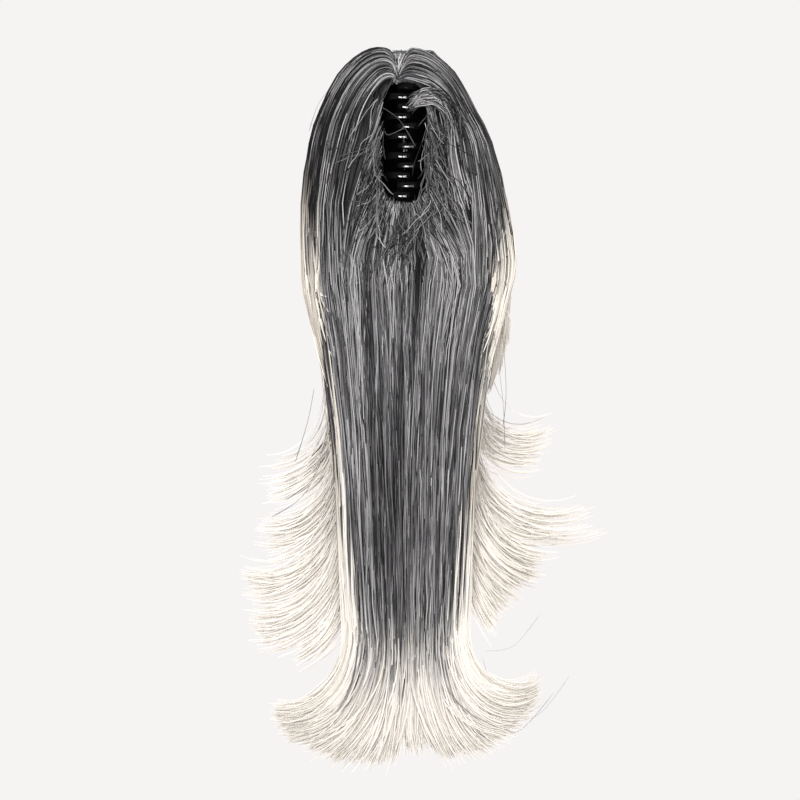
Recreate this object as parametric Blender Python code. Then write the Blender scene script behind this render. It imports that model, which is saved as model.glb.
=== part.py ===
"""A claw-clip ponytail hairpiece, hanging as it is worn: a black two-jaw claw inside a dome of hair, with a
long straight tail and four shorter layers behind it whose ends flick outwards.

Metres. +Z is up and the hair falls towards -Z. The claw's mouth faces -Y, the side that goes against the
head. The origin is the middle of the claw's grip, and +X is to the right when looking into the mouth.
"""

import math
from collections import namedtuple

import bmesh
import bpy
from mathutils import Matrix, Vector
from mathutils.geometry import convex_hull_2d

# The claw's jaws. A jaw's wall follows an ellipse from the hinge out and round to the tooth tips.
CLAW_LENGTH = 0.085
JAW_REACH = 0.036  # hinge axis to the front of the arch
JAW_BULGE = 0.0165  # hinge axis to the arch at its widest
ARCH_SHIFT = 0.002  # how far each arch's middle is off the hinge axis
JAW_WALL = 0.0022
WALL_START, WALL_END, TIP_ANGLE = 78.0, -22.0, -114.0  # degrees round the arch
ARCH_STEP = 8.0  # degrees
HINGE_Y = JAW_REACH * 4 / 9  # which puts the origin in the middle of the grip
OPEN_ANGLE = 60.0  # degrees that the right jaw turns from closed to open

# The teeth, six to a jaw. The rows are set off by half a pitch, so that they close between each other.
TOOTH_COUNT = 6
TOOTH_PITCH = 0.0137
TOOTH_WIDTH = 0.0052
TOOTH_TIP_WIDTH = 0.0030
TOOTH_THICKNESS = 0.0018
TOOTH_TIP_THICKNESS = 0.0012
TOOTH_ROOT_LAP = 9.0  # degrees of arch that a tooth reaches into the wall

# The finger levers behind the hinge.
LEVER_ANGLE = 40.0  # degrees from straight back
LEVER_LENGTH = 0.017
LEVER_WIDTH = 0.034
LEVER_THICKNESS = 0.0020
LEVER_BEND = Vector((0.0078, 0.0045, 0.0))  # where a lever leaves its jaw, from the hinge axis

# The hinge.
KNUCKLE_RADIUS = 0.0036
KNUCKLE_WIDTH = 0.0058
PIN_RADIUS = 0.0010
PIN_HEAD_RADIUS = 0.0022
PIN_HEAD_THICKNESS = 0.0008
SPRING_WIRE_RADIUS = 0.0005
SPRING_LENGTH = 0.0094
SPRING_TURNS = 5
SEAT_GAP = 0.0003  # between touching pieces
KNUCKLE_SIDES = 20

# The hair, measured from the origin.
CROWN_RISE = 0.067
CROWN_DROP = 0.062  # to the level face where the tail and the layers begin
LIP_THICKNESS = 0.0056  # the hair over the closed claw's front
BACK_THICKNESS = 0.0050  # the hair over the opened levers' ends
HAIR_HALF_WIDTH = 0.078
HAIR_NEAR = JAW_REACH - HINGE_Y + JAW_WALL / 2 + SEAT_GAP + LIP_THICKNESS  # out towards the head
HAIR_FAR = HINGE_Y + LEVER_BEND.length + LEVER_LENGTH + BACK_THICKNESS  # out away from the head
TAIL_LENGTH = 0.371  # from the crown's level face to the tips
LAYER_GAP = 0.0006
MOUTH_HALF_WIDTH = 0.0175
MOUTH_HEIGHT = 0.084
MOUTH_MIDDLE_Z = -0.0015
SWEEP_CLEARANCE = 0.0008  # round whatever moves
END_CLEARANCE = 0.0005  # beyond each end of the claw

# The lock relief on the hair.
CROWN_LOCKS = 15
CROWN_RELIEF = 0.0011
CROWN_SIDES = 60
TAIL_LOCKS = 11
TAIL_RELIEF = 0.0012

# The crown's level sections. Heights are shares of CROWN_RISE above the origin and of CROWN_DROP below it,
# and the others are shares of HAIR_HALF_WIDTH, HAIR_NEAR and HAIR_FAR.
Crown = namedtuple("Crown", "height left right near far")
CROWN = (
    Crown(1.00, 0.10, 0.06, -0.05, 0.30),
    Crown(0.97, 0.24, 0.18, 0.15, 0.46),
    Crown(0.90, 0.39, 0.31, 0.45, 0.63),
    Crown(0.80, 0.51, 0.42, 0.68, 0.76),
    Crown(0.68, 0.60, 0.50, 0.83, 0.84),
    Crown(0.52, 0.68, 0.57, 0.93, 0.91),
    Crown(0.30, 0.75, 0.67, 0.98, 0.96),
    Crown(0.00, 0.82, 0.78, 1.00, 1.00),
    Crown(-0.36, 0.88, 0.87, 1.00, 1.00),
    Crown(-0.70, 0.91, 0.94, 0.98, 1.00),
    Crown(-1.00, 0.92, 0.98, 0.96, 0.98),
)

# The surfaces between one layer of hair and the next, from the head side outwards. drop is from the crown's
# level face, as a share of TAIL_LENGTH, near is a share of HAIR_NEAR and the others are shares of HAIR_FAR.
Fall = namedtuple("Fall", "drop near after_long after_low after_mid after_high far")
FALL = (
    Fall(0.00, 0.96, -0.04, 0.21, 0.45, 0.69, 0.98),
    Fall(0.13, 0.93, -0.06, 0.18, 0.41, 0.64, 0.92),
    Fall(0.22, 0.89, -0.07, 0.16, 0.38, 0.59, 0.77),
    Fall(0.32, 0.85, -0.09, 0.14, 0.34, 0.54, 0.62),
    Fall(0.44, 0.81, -0.10, 0.12, 0.30, 0.46, 0.50),
    Fall(0.57, 0.74, -0.11, 0.10, 0.24, 0.34, 0.40),
    Fall(0.71, 0.67, -0.12, 0.05, 0.14, 0.20, 0.26),
    Fall(0.84, 0.59, -0.11, 0.02, 0.08, 0.12, 0.16),
    Fall(1.00, 0.44, -0.09, 0.00, 0.04, 0.08, 0.12),
)
# How far each of those surfaces bows towards the head at HAIR_HALF_WIDTH, as a share of HAIR_FAR. near bows
# away from it.
BOW = Fall(None, -0.40, 0.02, 0.08, 0.15, 0.24, 0.50)

# Each layer's sides, as shares of TAIL_LENGTH down and of HAIR_HALF_WIDTH out, to where its locks part.
Section = namedtuple("Section", "drop left right")
TAIL_SECTIONS = (
    Section(0.00, 0.79, 0.81),
    Section(0.07, 0.75, 0.78),
    Section(0.13, 0.73, 0.75),
    Section(0.19, 0.71, 0.70),
    Section(0.22, 0.69, 0.66),
    Section(0.32, 0.65, 0.64),
    Section(0.41, 0.62, 0.62),
    Section(0.51, 0.59, 0.60),
    Section(0.60, 0.55, 0.58),
    Section(0.70, 0.52, 0.55),
    Section(0.77, 0.50, 0.53),
    Section(0.84, 0.49, 0.50),
    Section(0.89, 0.34, 0.34),
    Section(0.92, 0.16, 0.16),
)
LOW_SECTIONS = (
    Section(0.00, 0.82, 0.85),
    Section(0.13, 0.76, 0.80),
    Section(0.32, 0.67, 0.69),
    Section(0.51, 0.60, 0.63),
    Section(0.63, 0.54, 0.58),
    Section(0.68, 0.36, 0.38),
)
MID_SECTIONS = (
    Section(0.00, 0.85, 0.89),
    Section(0.13, 0.79, 0.84),
    Section(0.32, 0.68, 0.74),
    Section(0.46, 0.61, 0.66),
    Section(0.52, 0.50, 0.54),
    Section(0.56, 0.34, 0.36),
)
HIGH_SECTIONS = (
    Section(0.00, 0.88, 0.94),
    Section(0.13, 0.81, 0.89),
    Section(0.24, 0.73, 0.81),
    Section(0.33, 0.67, 0.74),
    Section(0.39, 0.55, 0.60),
    Section(0.42, 0.38, 0.42),
)
SHORT_SECTIONS = (
    Section(0.00, 0.90, 0.98),
    Section(0.07, 0.89, 1.00),
    Section(0.13, 0.85, 0.97),
    Section(0.18, 0.76, 0.86),
    Section(0.21, 0.55, 0.62),
)

# The locks that part from each layer's end. side is -1 left, 1 right and 0 back, start is a share of the
# layer's half width, drop, length and width are shares of TAIL_LENGTH, and turn is in degrees from straight
# down. curl is how late along its length a lock turns.
Lock = namedtuple("Lock", "side start drop length turn curl width thickness")
TAIL_END_LOCKS = (
    Lock(-1, 0.88, 0.77, 0.269, 96, 1.5, 0.047, 0.021),
    Lock(-1, 0.62, 0.80, 0.263, 88, 1.7, 0.054, 0.026),
    Lock(-1, 0.36, 0.82, 0.204, 68, 1.7, 0.056, 0.028),
    Lock(-1, 0.12, 0.84, 0.169, 26, 1.4, 0.051, 0.028),
    Lock(1, 0.14, 0.84, 0.164, 34, 1.4, 0.051, 0.028),
    Lock(1, 0.38, 0.82, 0.210, 76, 1.7, 0.056, 0.028),
    Lock(1, 0.64, 0.80, 0.269, 98, 1.7, 0.054, 0.026),
    Lock(1, 0.88, 0.77, 0.251, 116, 1.5, 0.044, 0.021),
)
LOW_END_LOCKS = (
    Lock(-1, 0.86, 0.53, 0.304, 92, 1.5, 0.047, 0.016),
    Lock(-1, 0.52, 0.59, 0.234, 78, 1.7, 0.051, 0.016),
    Lock(1, 0.52, 0.59, 0.199, 50, 1.3, 0.051, 0.016),
    Lock(1, 0.86, 0.53, 0.222, 56, 1.3, 0.051, 0.016),
    Lock(0, -0.55, 0.58, 0.175, 88, 1.8, 0.070, 0.016),
    Lock(0, 0.00, 0.59, 0.175, 96, 1.8, 0.070, 0.016),
    Lock(0, 0.55, 0.58, 0.175, 88, 1.8, 0.070, 0.016),
)
MID_END_LOCKS = (
    Lock(-1, 0.86, 0.40, 0.322, 98, 1.4, 0.049, 0.016),
    Lock(1, 0.86, 0.34, 0.385, 104, 1.25, 0.047, 0.016),
    Lock(0, -0.62, 0.45, 0.175, 84, 1.8, 0.068, 0.016),
    Lock(0, -0.20, 0.46, 0.175, 96, 1.8, 0.068, 0.016),
    Lock(0, 0.22, 0.46, 0.175, 94, 1.8, 0.068, 0.016),
    Lock(0, 0.64, 0.45, 0.175, 84, 1.8, 0.068, 0.016),
)
HIGH_END_LOCKS = (
    Lock(-1, 0.84, 0.28, 0.320, 104, 1.5, 0.047, 0.016),
    Lock(1, 0.84, 0.29, 0.234, 104, 1.6, 0.051, 0.016),
    Lock(0, -0.62, 0.32, 0.175, 86, 1.8, 0.070, 0.018),
    Lock(0, -0.20, 0.33, 0.175, 98, 1.8, 0.070, 0.018),
    Lock(0, 0.22, 0.33, 0.175, 96, 1.8, 0.070, 0.018),
    Lock(0, 0.64, 0.32, 0.175, 86, 1.8, 0.070, 0.018),
)
SHORT_END_LOCKS = (
    Lock(-1, 0.80, 0.12, 0.128, 14, 1.4, 0.047, 0.018),
    Lock(1, 0.80, 0.12, 0.128, 8, 1.4, 0.051, 0.018),
    Lock(0, -0.58, 0.11, 0.175, 86, 1.8, 0.077, 0.019),
    Lock(0, -0.18, 0.12, 0.181, 98, 1.8, 0.077, 0.019),
    Lock(0, 0.22, 0.12, 0.181, 96, 1.8, 0.077, 0.019),
    Lock(0, 0.60, 0.11, 0.175, 86, 1.8, 0.077, 0.019),
)
LOCK_STATIONS = 8
LOCK_SIDES = 6
LOCK_ROOM = 0.85  # of the depth between a lock's middle and its layer's near face

Finish = namedtuple("Finish", "color roughness metallic")
BLACK_PLASTIC = Finish((0.012, 0.012, 0.013, 1.0), 0.25, 0.0)
SPRING_STEEL = Finish((0.55, 0.55, 0.56, 1.0), 0.3, 1.0)
GREY_HAIR = Finish((0.13, 0.125, 0.13, 1.0), 0.5, 0.0)
PALE_HAIR = Finish((0.72, 0.66, 0.58, 1.0), 0.5, 0.0)


def clear_scene():
    for item in list(bpy.data.objects):
        bpy.data.objects.remove(item)


def material(name, finish):
    made = bpy.data.materials.get(name) or bpy.data.materials.new(name)
    made.use_nodes = True
    shader = made.node_tree.nodes["Principled BSDF"]
    shader.inputs["Base Color"].default_value = finish.color
    shader.inputs["Roughness"].default_value = finish.roughness
    shader.inputs["Metallic"].default_value = finish.metallic
    return made


def new_object(name, mesh):
    made = bpy.data.objects.new(name, mesh)
    bpy.context.scene.collection.objects.link(made)
    return made


def loft(name, rings):
    """A closed body through rings of equally many points, with a flat cap on each end."""
    shape = bmesh.new()
    rows = [[shape.verts.new(point) for point in ring] for ring in rings]
    count = len(rows[0])
    for lower, upper in zip(rows, rows[1:]):
        for i in range(count):
            j = (i + 1) % count
            shape.faces.new((lower[i], lower[j], upper[j], upper[i]))
    shape.faces.new(rows[0])
    shape.faces.new(rows[-1])
    bmesh.ops.recalc_face_normals(shape, faces=shape.faces)
    mesh = bpy.data.meshes.new(name)
    shape.to_mesh(mesh)
    shape.free()
    return new_object(name, mesh)


def combined(body, others, operation):
    """The body after a Boolean with each of the others, which are used up."""
    for other in others:
        step = body.modifiers.new("step", "BOOLEAN")
        step.operation = operation
        step.solver = "EXACT"
        step.object = other
        bpy.context.view_layer.update()
        graph = bpy.context.evaluated_depsgraph_get()
        mesh = bpy.data.meshes.new_from_object(body.evaluated_get(graph))
        body.modifiers.clear()
        body.data = mesh
        bpy.data.objects.remove(other)
    return body


def finished(body, finish_name, finish, sharp_degrees=40.0):
    body.data.materials.clear()
    body.data.materials.append(material(finish_name, finish))
    body.data.shade_smooth()
    body.data.set_sharp_from_angle(angle=math.radians(sharp_degrees))
    body.data.name = body.name
    return body


def spaced(first, last, count):
    return [first + (last - first) * i / (count - 1) for i in range(count)]


def between(rows, key, column, at):
    """A table's column at a value of its key column, on straight lines between the rows."""
    for a, b in zip(rows, rows[1:]):
        low, high = getattr(a, key), getattr(b, key)
        if min(low, high) <= at <= max(low, high):
            share = (at - low) / (high - low)
            return getattr(a, column) * (1 - share) + getattr(b, column) * share
    nearest = min(rows, key=lambda row: abs(getattr(row, key) - at))
    return getattr(nearest, column)


# Jaws. They are made in the hinge's own frame, with the hinge axis at the origin and the teeth towards -Y.


def arch_point(degrees):
    """The middle of the right jaw's wall at an angle round its arch."""
    angle = math.radians(degrees)
    half_width = JAW_BULGE - ARCH_SHIFT
    half_reach = JAW_REACH / 2
    return Vector((ARCH_SHIFT + half_width * math.cos(angle), half_reach * (math.sin(angle) - 1), 0))


def arch_normal(degrees):
    angle = math.radians(degrees)
    half_width = JAW_BULGE - ARCH_SHIFT
    return Vector((JAW_REACH / 2 * math.cos(angle), half_width * math.sin(angle), 0)).normalized()


def strip(name, side, middles, normals, thicknesses, widths, z=0.0):
    """A bent strip through middles, as wide along Z as widths say. A side of -1 mirrors it to the left."""
    rings = []
    for middle, normal, thickness, width in zip(middles, normals, thicknesses, widths):
        ring = []
        for along, across in ((1, -1), (1, 1), (-1, 1), (-1, -1)):
            point = middle + normal * (along * thickness / 2)
            ring.append(Vector((side * point.x, point.y, z + across * width / 2)))
        rings.append(ring)
    return loft(name, rings)


def arch_angles(first, last):
    """Angles from first to last on the arch's own grid, so that walls and clearances have like facets."""
    inner = [a for a in (TIP_ANGLE + ARCH_STEP * i for i in range(60)) if last < a < first]
    return [first, *sorted(inner, reverse=True), last]


def jaw_wall(side):
    angles = arch_angles(WALL_START, WALL_END)
    count = len(angles)
    middles = [arch_point(a) for a in angles]
    normals = [arch_normal(a) for a in angles]
    return strip("wall", side, middles, normals, [JAW_WALL] * count, [CLAW_LENGTH] * count)


def tooth(side, z):
    angles = arch_angles(WALL_END + TOOTH_ROOT_LAP, TIP_ANGLE)
    shares = spaced(0.0, 1.0, len(angles))
    thicknesses = [TOOTH_THICKNESS + (TOOTH_TIP_THICKNESS - TOOTH_THICKNESS) * s for s in shares]
    widths = [TOOTH_WIDTH + (TOOTH_TIP_WIDTH - TOOTH_WIDTH) * s**1.5 for s in shares]
    middles = [arch_point(a) for a in angles]
    normals = [arch_normal(a) for a in angles]
    return strip("tooth", side, middles, normals, thicknesses, widths, z)


def tooth_heights(side):
    """The right jaw's row is a quarter pitch up and the left jaw's a quarter pitch down."""
    top = (TOOTH_COUNT - 1) / 2 * TOOTH_PITCH + side * TOOTH_PITCH / 4
    return [top - i * TOOTH_PITCH for i in range(TOOTH_COUNT)]


def lever_path():
    """Where a lever starts inside the wall, bends and ends, on the right jaw."""
    angle = math.radians(LEVER_ANGLE)
    direction = Vector((math.sin(angle), math.cos(angle), 0))
    root = arch_point(WALL_START - ARCH_STEP)
    outer = [LEVER_BEND + direction * LEVER_LENGTH * share for share in (0.8, 1.0)]
    return [root, LEVER_BEND, *outer]


def lever(side):
    path = lever_path()
    across = Vector((math.cos(math.radians(LEVER_ANGLE)), -math.sin(math.radians(LEVER_ANGLE)), 0))
    normals = [Vector((1, 0, 0)), across, across, across]
    widths = [LEVER_WIDTH * share for share in (1.0, 1.0, 0.9, 0.6)]
    thicknesses = [LEVER_THICKNESS * share for share in (0.8, 1.0, 1.0, 0.7)]
    return strip("lever", side, path, normals, thicknesses, widths)


def circle(radius, z, count=KNUCKLE_SIDES):
    turns = [2 * math.pi * i / count for i in range(count)]
    return [Vector((radius * math.cos(t), radius * math.sin(t), z)) for t in turns]


def knuckle(side, z):
    """A barrel whose bore clears the pin by SEAT_GAP, and the arm that joins it to the jaw's wall."""
    bore = PIN_RADIUS + SEAT_GAP + PIN_RADIUS * (1 / math.cos(math.pi / KNUCKLE_SIDES) - 1)
    low, high = z - KNUCKLE_WIDTH / 2, z + KNUCKLE_WIDTH / 2
    barrel = loft("barrel", [circle(KNUCKLE_RADIUS, low), circle(KNUCKLE_RADIUS, high)])
    arm_start = Vector((bore + PIN_RADIUS, 0, 0))
    arm_end = arch_point(WALL_START - ARCH_STEP)
    arm = strip(
        "arm",
        side,
        [arm_start, arm_end],
        [Vector((0, 1, 0))] * 2,
        [KNUCKLE_RADIUS * 0.8, JAW_WALL * 0.8],
        [KNUCKLE_WIDTH * 0.92] * 2,
        z,
    )
    hole = loft("hole", [circle(bore, low - KNUCKLE_WIDTH), circle(bore, high + KNUCKLE_WIDTH)])
    return combined(combined(barrel, [arm], "UNION"), [hole], "DIFFERENCE")


def knuckle_heights(side):
    """The right jaw has the two inner knuckles, next to the spring, and the left jaw the two outer ones."""
    inner = SPRING_LENGTH / 2 + SEAT_GAP + KNUCKLE_WIDTH / 2
    height = inner if side > 0 else inner + KNUCKLE_WIDTH + SEAT_GAP
    return (-height, height)


def jaw(name, side):
    pieces = [lever(side)]
    pieces += [tooth(side, z) for z in tooth_heights(side)]
    pieces += [knuckle(side, z) for z in knuckle_heights(side)]
    made = combined(jaw_wall(side), pieces, "UNION")
    made.name = name
    made.location = (0, HINGE_Y, 0)
    return finished(made, "black_plastic", BLACK_PLASTIC)


def hinge_pin():
    """A plain pin through the four knuckles, with a head at each end."""
    shaft_end = knuckle_heights(-1)[1] + KNUCKLE_WIDTH / 2 + SEAT_GAP
    head_end = shaft_end + PIN_HEAD_THICKNESS
    profile = [
        (PIN_HEAD_RADIUS * 0.8, -head_end),
        (PIN_HEAD_RADIUS, -shaft_end),
        (PIN_RADIUS, -shaft_end),
        (PIN_RADIUS, shaft_end),
        (PIN_HEAD_RADIUS, shaft_end),
        (PIN_HEAD_RADIUS * 0.8, head_end),
    ]
    made = loft("hinge_pin", [circle(radius, z) for radius, z in profile])
    made.location = (0, HINGE_Y, 0)
    return finished(made, "spring_steel", SPRING_STEEL)


def hinge_spring():
    """A torsion coil round the pin, between the right jaw's knuckles."""
    steps_per_turn, wire_sides = 12, 6
    coil_radius = PIN_RADIUS + SEAT_GAP + SPRING_WIRE_RADIUS
    rise = SPRING_LENGTH - 2 * (SPRING_WIRE_RADIUS + SEAT_GAP)
    rings = []
    for i in range(SPRING_TURNS * steps_per_turn + 1):
        share = i / (SPRING_TURNS * steps_per_turn)
        turn = 2 * math.pi * SPRING_TURNS * share
        outward = Vector((math.cos(turn), math.sin(turn), 0))
        middle = outward * coil_radius + Vector((0, 0, rise * (share - 0.5)))
        ring = []
        for j in range(wire_sides):
            spin = 2 * math.pi * j / wire_sides
            reach = outward * math.cos(spin) + Vector((0, 0, math.sin(spin)))
            ring.append(middle + reach * SPRING_WIRE_RADIUS)
        rings.append(ring)
    made = loft("hinge_spring", rings)
    made.location = (0, HINGE_Y, 0)
    return finished(made, "spring_steel", SPRING_STEEL)


# Cutters for the room that the claw needs in the crown.


def prism(name, outline, low, high):
    """An outline of (x, y) points extruded along Z, from low to high."""
    return loft(name, [[Vector((x, y, z)) for x, y in outline] for z in (low, high)])


def hull(points):
    flat = [Vector((point.x, point.y)) for point in points]
    return [flat[i] for i in convex_hull_2d(flat)]


def turned_about_hinge(points, degrees):
    spin = Matrix.Rotation(math.radians(degrees), 3, "Z")
    return [spin @ point for point in points]


def arch_outside(clearance):
    """Points round the outside of the right jaw's whole arch, with a clearance."""
    angles = [TIP_ANGLE + ARCH_STEP * i for i in range(round(360 / ARCH_STEP))]
    out = JAW_WALL / 2 + clearance
    return [arch_point(a) + arch_normal(a) * out for a in angles]


def lever_outside(clearance):
    corners = []
    for middle in lever_path():
        for x in (-1, 1):
            for y in (-1, 1):
                reach = LEVER_THICKNESS / 2 + clearance
                corners.append(middle + Vector((x * reach, y * reach, 0)))
    return corners


def swept(points):
    """The points at each few degrees of the right jaw's travel."""
    stops = spaced(0.0, OPEN_ANGLE, 9)
    return [p for stop in stops for p in turned_about_hinge(points, stop)]


def mirrored(points):
    return [Vector((-point.x, point.y, point.z)) for point in points]


def in_part_frame(points):
    return [(point.x, point.y + HINGE_Y) for point in points]


def claw_room():
    """The left jaw's seat, the right jaw's sweep and the levers' sweep."""
    end = CLAW_LENGTH / 2 + END_CLEARANCE
    lever_end = LEVER_WIDTH / 2 + SWEEP_CLEARANCE
    seat = in_part_frame(hull(mirrored(arch_outside(SEAT_GAP))))
    sweep = in_part_frame(hull(swept(arch_outside(SWEEP_CLEARANCE))))
    moving = lever_outside(SWEEP_CLEARANCE)
    levers = in_part_frame(hull(mirrored(moving) + swept(moving)))
    return [
        prism("seat", seat, -end, end),
        prism("sweep", sweep, -end, end),
        prism("levers", levers, -lever_end, lever_end),
    ]


def mouth_cutter():
    """The gap in the hair that the claw looks out of: an upright oval with straight sides."""
    count, squareness = 24, 0.62
    rings = []
    for y in (-2 * HAIR_NEAR, HINGE_Y - JAW_REACH / 2):
        ring = []
        for i in range(count):
            turn = 2 * math.pi * i / count
            x = math.copysign(abs(math.cos(turn)) ** squareness, math.cos(turn)) * MOUTH_HALF_WIDTH
            z = math.copysign(abs(math.sin(turn)) ** squareness, math.sin(turn)) * MOUTH_HEIGHT / 2
            ring.append(Vector((x, y, MOUTH_MIDDLE_Z + z)))
        rings.append(ring)
    return loft("mouth", rings)


def crown_ring(row):
    """One level section of the crown, with its locks as low lobes."""
    height = row.height * (CROWN_RISE if row.height > 0 else CROWN_DROP)
    left, right = -row.left * HAIR_HALF_WIDTH, row.right * HAIR_HALF_WIDTH
    near, far = -row.near * HAIR_NEAR, row.far * HAIR_FAR
    middle = Vector(((left + right) / 2, (near + far) / 2, height))
    half_width, half_depth = (right - left) / 2, (far - near) / 2
    fullness = 0.88
    relief = CROWN_RELIEF * min(1.0, half_width / (HAIR_HALF_WIDTH / 2))
    ring = []
    for i in range(CROWN_SIDES):
        turn = 2 * math.pi * i / CROWN_SIDES
        lobe = relief * math.cos(CROWN_LOCKS * turn + row.height)
        x = math.copysign(abs(math.cos(turn)) ** fullness, math.cos(turn)) * (half_width + lobe)
        y = math.copysign(abs(math.sin(turn)) ** fullness, math.sin(turn)) * (half_depth + lobe)
        ring.append(middle + Vector((x, y, 0)))
    return ring


def hair_crown():
    """The dome of hair round the claw, open on the head side."""
    dome = loft("hair_crown", [crown_ring(row) for row in CROWN])
    made = combined(dome, [*claw_room(), mouth_cutter()], "DIFFERENCE")
    return finished(made, "grey_hair", GREY_HAIR)


# The tail and its layers, which lie one behind the other.


def level(drop):
    """The height of a share of TAIL_LENGTH below the crown's level face, past a seat's gap."""
    return -CROWN_DROP - SEAT_GAP - drop * TAIL_LENGTH


def drop_at(z):
    return (level(0.0) - z) / TAIL_LENGTH


def surface(column, x, drop):
    """The depth, along Y, of one of FALL's surfaces at x and at a share of TAIL_LENGTH down."""
    size = -HAIR_NEAR if column == "near" else HAIR_FAR
    depth = between(FALL, "drop", column, drop) * size
    return depth - getattr(BOW, column) * HAIR_FAR * (x / HAIR_HALF_WIDTH) ** 2


def layer_depths(layer, x, drop):
    """The near and far faces of a layer at x and drop. Its gap to the next layer is on its near side."""
    near_column, far_column = layer
    gap = 0.0 if near_column == "near" else LAYER_GAP
    return surface(near_column, x, drop) + gap, surface(far_column, x, drop)


def layer_ring(layer, row, face_points):
    """One level section of a layer: along its near face from left to right, and back along its far face."""
    left, right = -row.left * HAIR_HALF_WIDTH, row.right * HAIR_HALF_WIDTH
    ring = []
    for near_side in (True, False):
        for i in range(face_points):
            share = (i + 0.5) / face_points
            u = 2 * share - 1 if near_side else 1 - 2 * share
            x = (left + right) / 2 + (right - left) / 2 * u
            near, far = layer_depths(layer, x, row.drop)
            swell = (1 - abs(u) ** 6) ** 0.5
            y = (near + far) / 2 + (near - far) / 2 * swell * (1 if near_side else -1)
            if near_side and layer[0] == "near":
                y += TAIL_RELIEF * (1 - abs(u) ** 4) * (1 + math.cos(TAIL_LOCKS * math.pi * u + 3 * row.drop))
            ring.append(Vector((x, y, level(row.drop))))
    return ring


def lock_path(layer, sections, lock):
    """Stations down a lock that starts inside its layer and turns outwards: place, heading and room."""
    half_width = HAIR_HALF_WIDTH * between(sections, "drop", "right" if lock.start > 0 else "left", lock.drop)
    x = lock.start * half_width if lock.side == 0 else lock.side * lock.start * half_width
    near, far = layer_depths(layer, x, lock.drop)
    place = Vector((x, (near + far) / 2, level(lock.drop)))
    outward = Vector((lock.side, 0, 0)) if lock.side else Vector((0.35 * lock.start, 1, 0)).normalized()
    steps = 5 * (LOCK_STATIONS - 1)
    step = lock.length * TAIL_LENGTH / steps
    path = []
    for i in range(steps + 1):
        turn = math.radians(lock.turn) * (i / steps) ** lock.curl
        heading = outward * math.sin(turn) - Vector((0, 0, math.cos(turn)))
        drop = drop_at(place.z)
        limit = between(sections, "drop", "right", drop) * HAIR_HALF_WIDTH
        near, far = layer_depths(layer, max(-limit, min(limit, place.x)), drop)
        if lock.side:
            place.y = (near + far) / 2
        if i % 5 == 0:
            path.append((place.copy(), heading, place.y - near))
        place += heading * step
    return path, outward


def lock_body(layer, sections, lock):
    """A tapered lock, broad in its own plane where it goes sideways and across it where it goes back."""
    path, outward = lock_path(layer, sections, lock)
    sideways = Vector((0, 0, 1)).cross(outward)
    broad, thin = lock.width * TAIL_LENGTH / 2, lock.thickness * TAIL_LENGTH / 2
    taper = (0.70, 1.00, 1.06, 1.00, 0.88, 0.70, 0.46, 0.16)
    rings = []
    for (place, heading, room), size in zip(path, taper):
        across = heading.cross(sideways).normalized()
        thickness = min(thin * size, LOCK_ROOM * room)
        first, second = across * broad * size, sideways * thickness
        if not lock.side:
            first, second = across * thickness, sideways * broad * size
        ring = []
        for i in range(LOCK_SIDES):
            turn = 2 * math.pi * i / LOCK_SIDES
            ring.append(place + first * math.cos(turn) + second * math.sin(turn))
        rings.append(ring)
    return loft("lock", rings)


def hair_layer(name, layer, sections, locks, finish_name, finish, face_points):
    body = loft(name, [layer_ring(layer, row, face_points) for row in sections])
    made = combined(body, [lock_body(layer, sections, lock) for lock in locks], "UNION")
    return finished(made, finish_name, finish)


def build():
    clear_scene()
    jaw("claw_jaw_left", -1)
    jaw("claw_jaw_right", 1)
    hinge_pin()
    hinge_spring()
    hair_crown()
    grey, pale = ("grey_hair", GREY_HAIR), ("pale_hair", PALE_HAIR)
    hair_layer("tail_long", ("near", "after_long"), TAIL_SECTIONS, TAIL_END_LOCKS, *grey, 30)
    hair_layer("layer_low", ("after_long", "after_low"), LOW_SECTIONS, LOW_END_LOCKS, *pale, 12)
    hair_layer("layer_mid", ("after_low", "after_mid"), MID_SECTIONS, MID_END_LOCKS, *pale, 12)
    hair_layer("layer_high", ("after_mid", "after_high"), HIGH_SECTIONS, HIGH_END_LOCKS, *pale, 12)
    hair_layer("layer_short", ("after_high", "far"), SHORT_SECTIONS, SHORT_END_LOCKS, *pale, 12)


build()
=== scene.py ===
"""The looks of a claw-clip ponytail hairpiece: black and silver strands over the crown, a long straight tail,
four shorter layers and cream ends that flick outwards, on a glossy black claw.

Metres, in the frame's own axes: +Z up, the head side towards -Y, +X to the right when looking at the claw.
"""

import math
from collections import namedtuple

import bpy
import numpy as np
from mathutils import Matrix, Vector
from mathutils.bvhtree import BVHTree


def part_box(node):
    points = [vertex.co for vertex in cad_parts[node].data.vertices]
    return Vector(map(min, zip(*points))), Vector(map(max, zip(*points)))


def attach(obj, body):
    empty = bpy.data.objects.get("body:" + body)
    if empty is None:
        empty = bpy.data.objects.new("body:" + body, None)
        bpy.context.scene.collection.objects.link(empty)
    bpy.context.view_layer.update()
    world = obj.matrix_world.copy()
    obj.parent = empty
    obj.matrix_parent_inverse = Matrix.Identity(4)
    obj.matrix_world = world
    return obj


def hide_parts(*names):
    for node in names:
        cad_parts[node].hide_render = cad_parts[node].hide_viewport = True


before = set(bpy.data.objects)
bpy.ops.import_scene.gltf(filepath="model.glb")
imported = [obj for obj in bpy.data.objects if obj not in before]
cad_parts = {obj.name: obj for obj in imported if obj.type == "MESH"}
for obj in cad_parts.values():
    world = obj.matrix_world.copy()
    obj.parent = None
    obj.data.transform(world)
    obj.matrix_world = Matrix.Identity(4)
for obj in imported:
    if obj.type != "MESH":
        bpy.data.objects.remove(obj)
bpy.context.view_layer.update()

# The frame's own sizes, which the tables below are shares of.
crown_low, crown_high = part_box("hair_crown")
tail_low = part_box("tail_long")[0]
jaw_low, jaw_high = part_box("claw_jaw_left")
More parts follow.
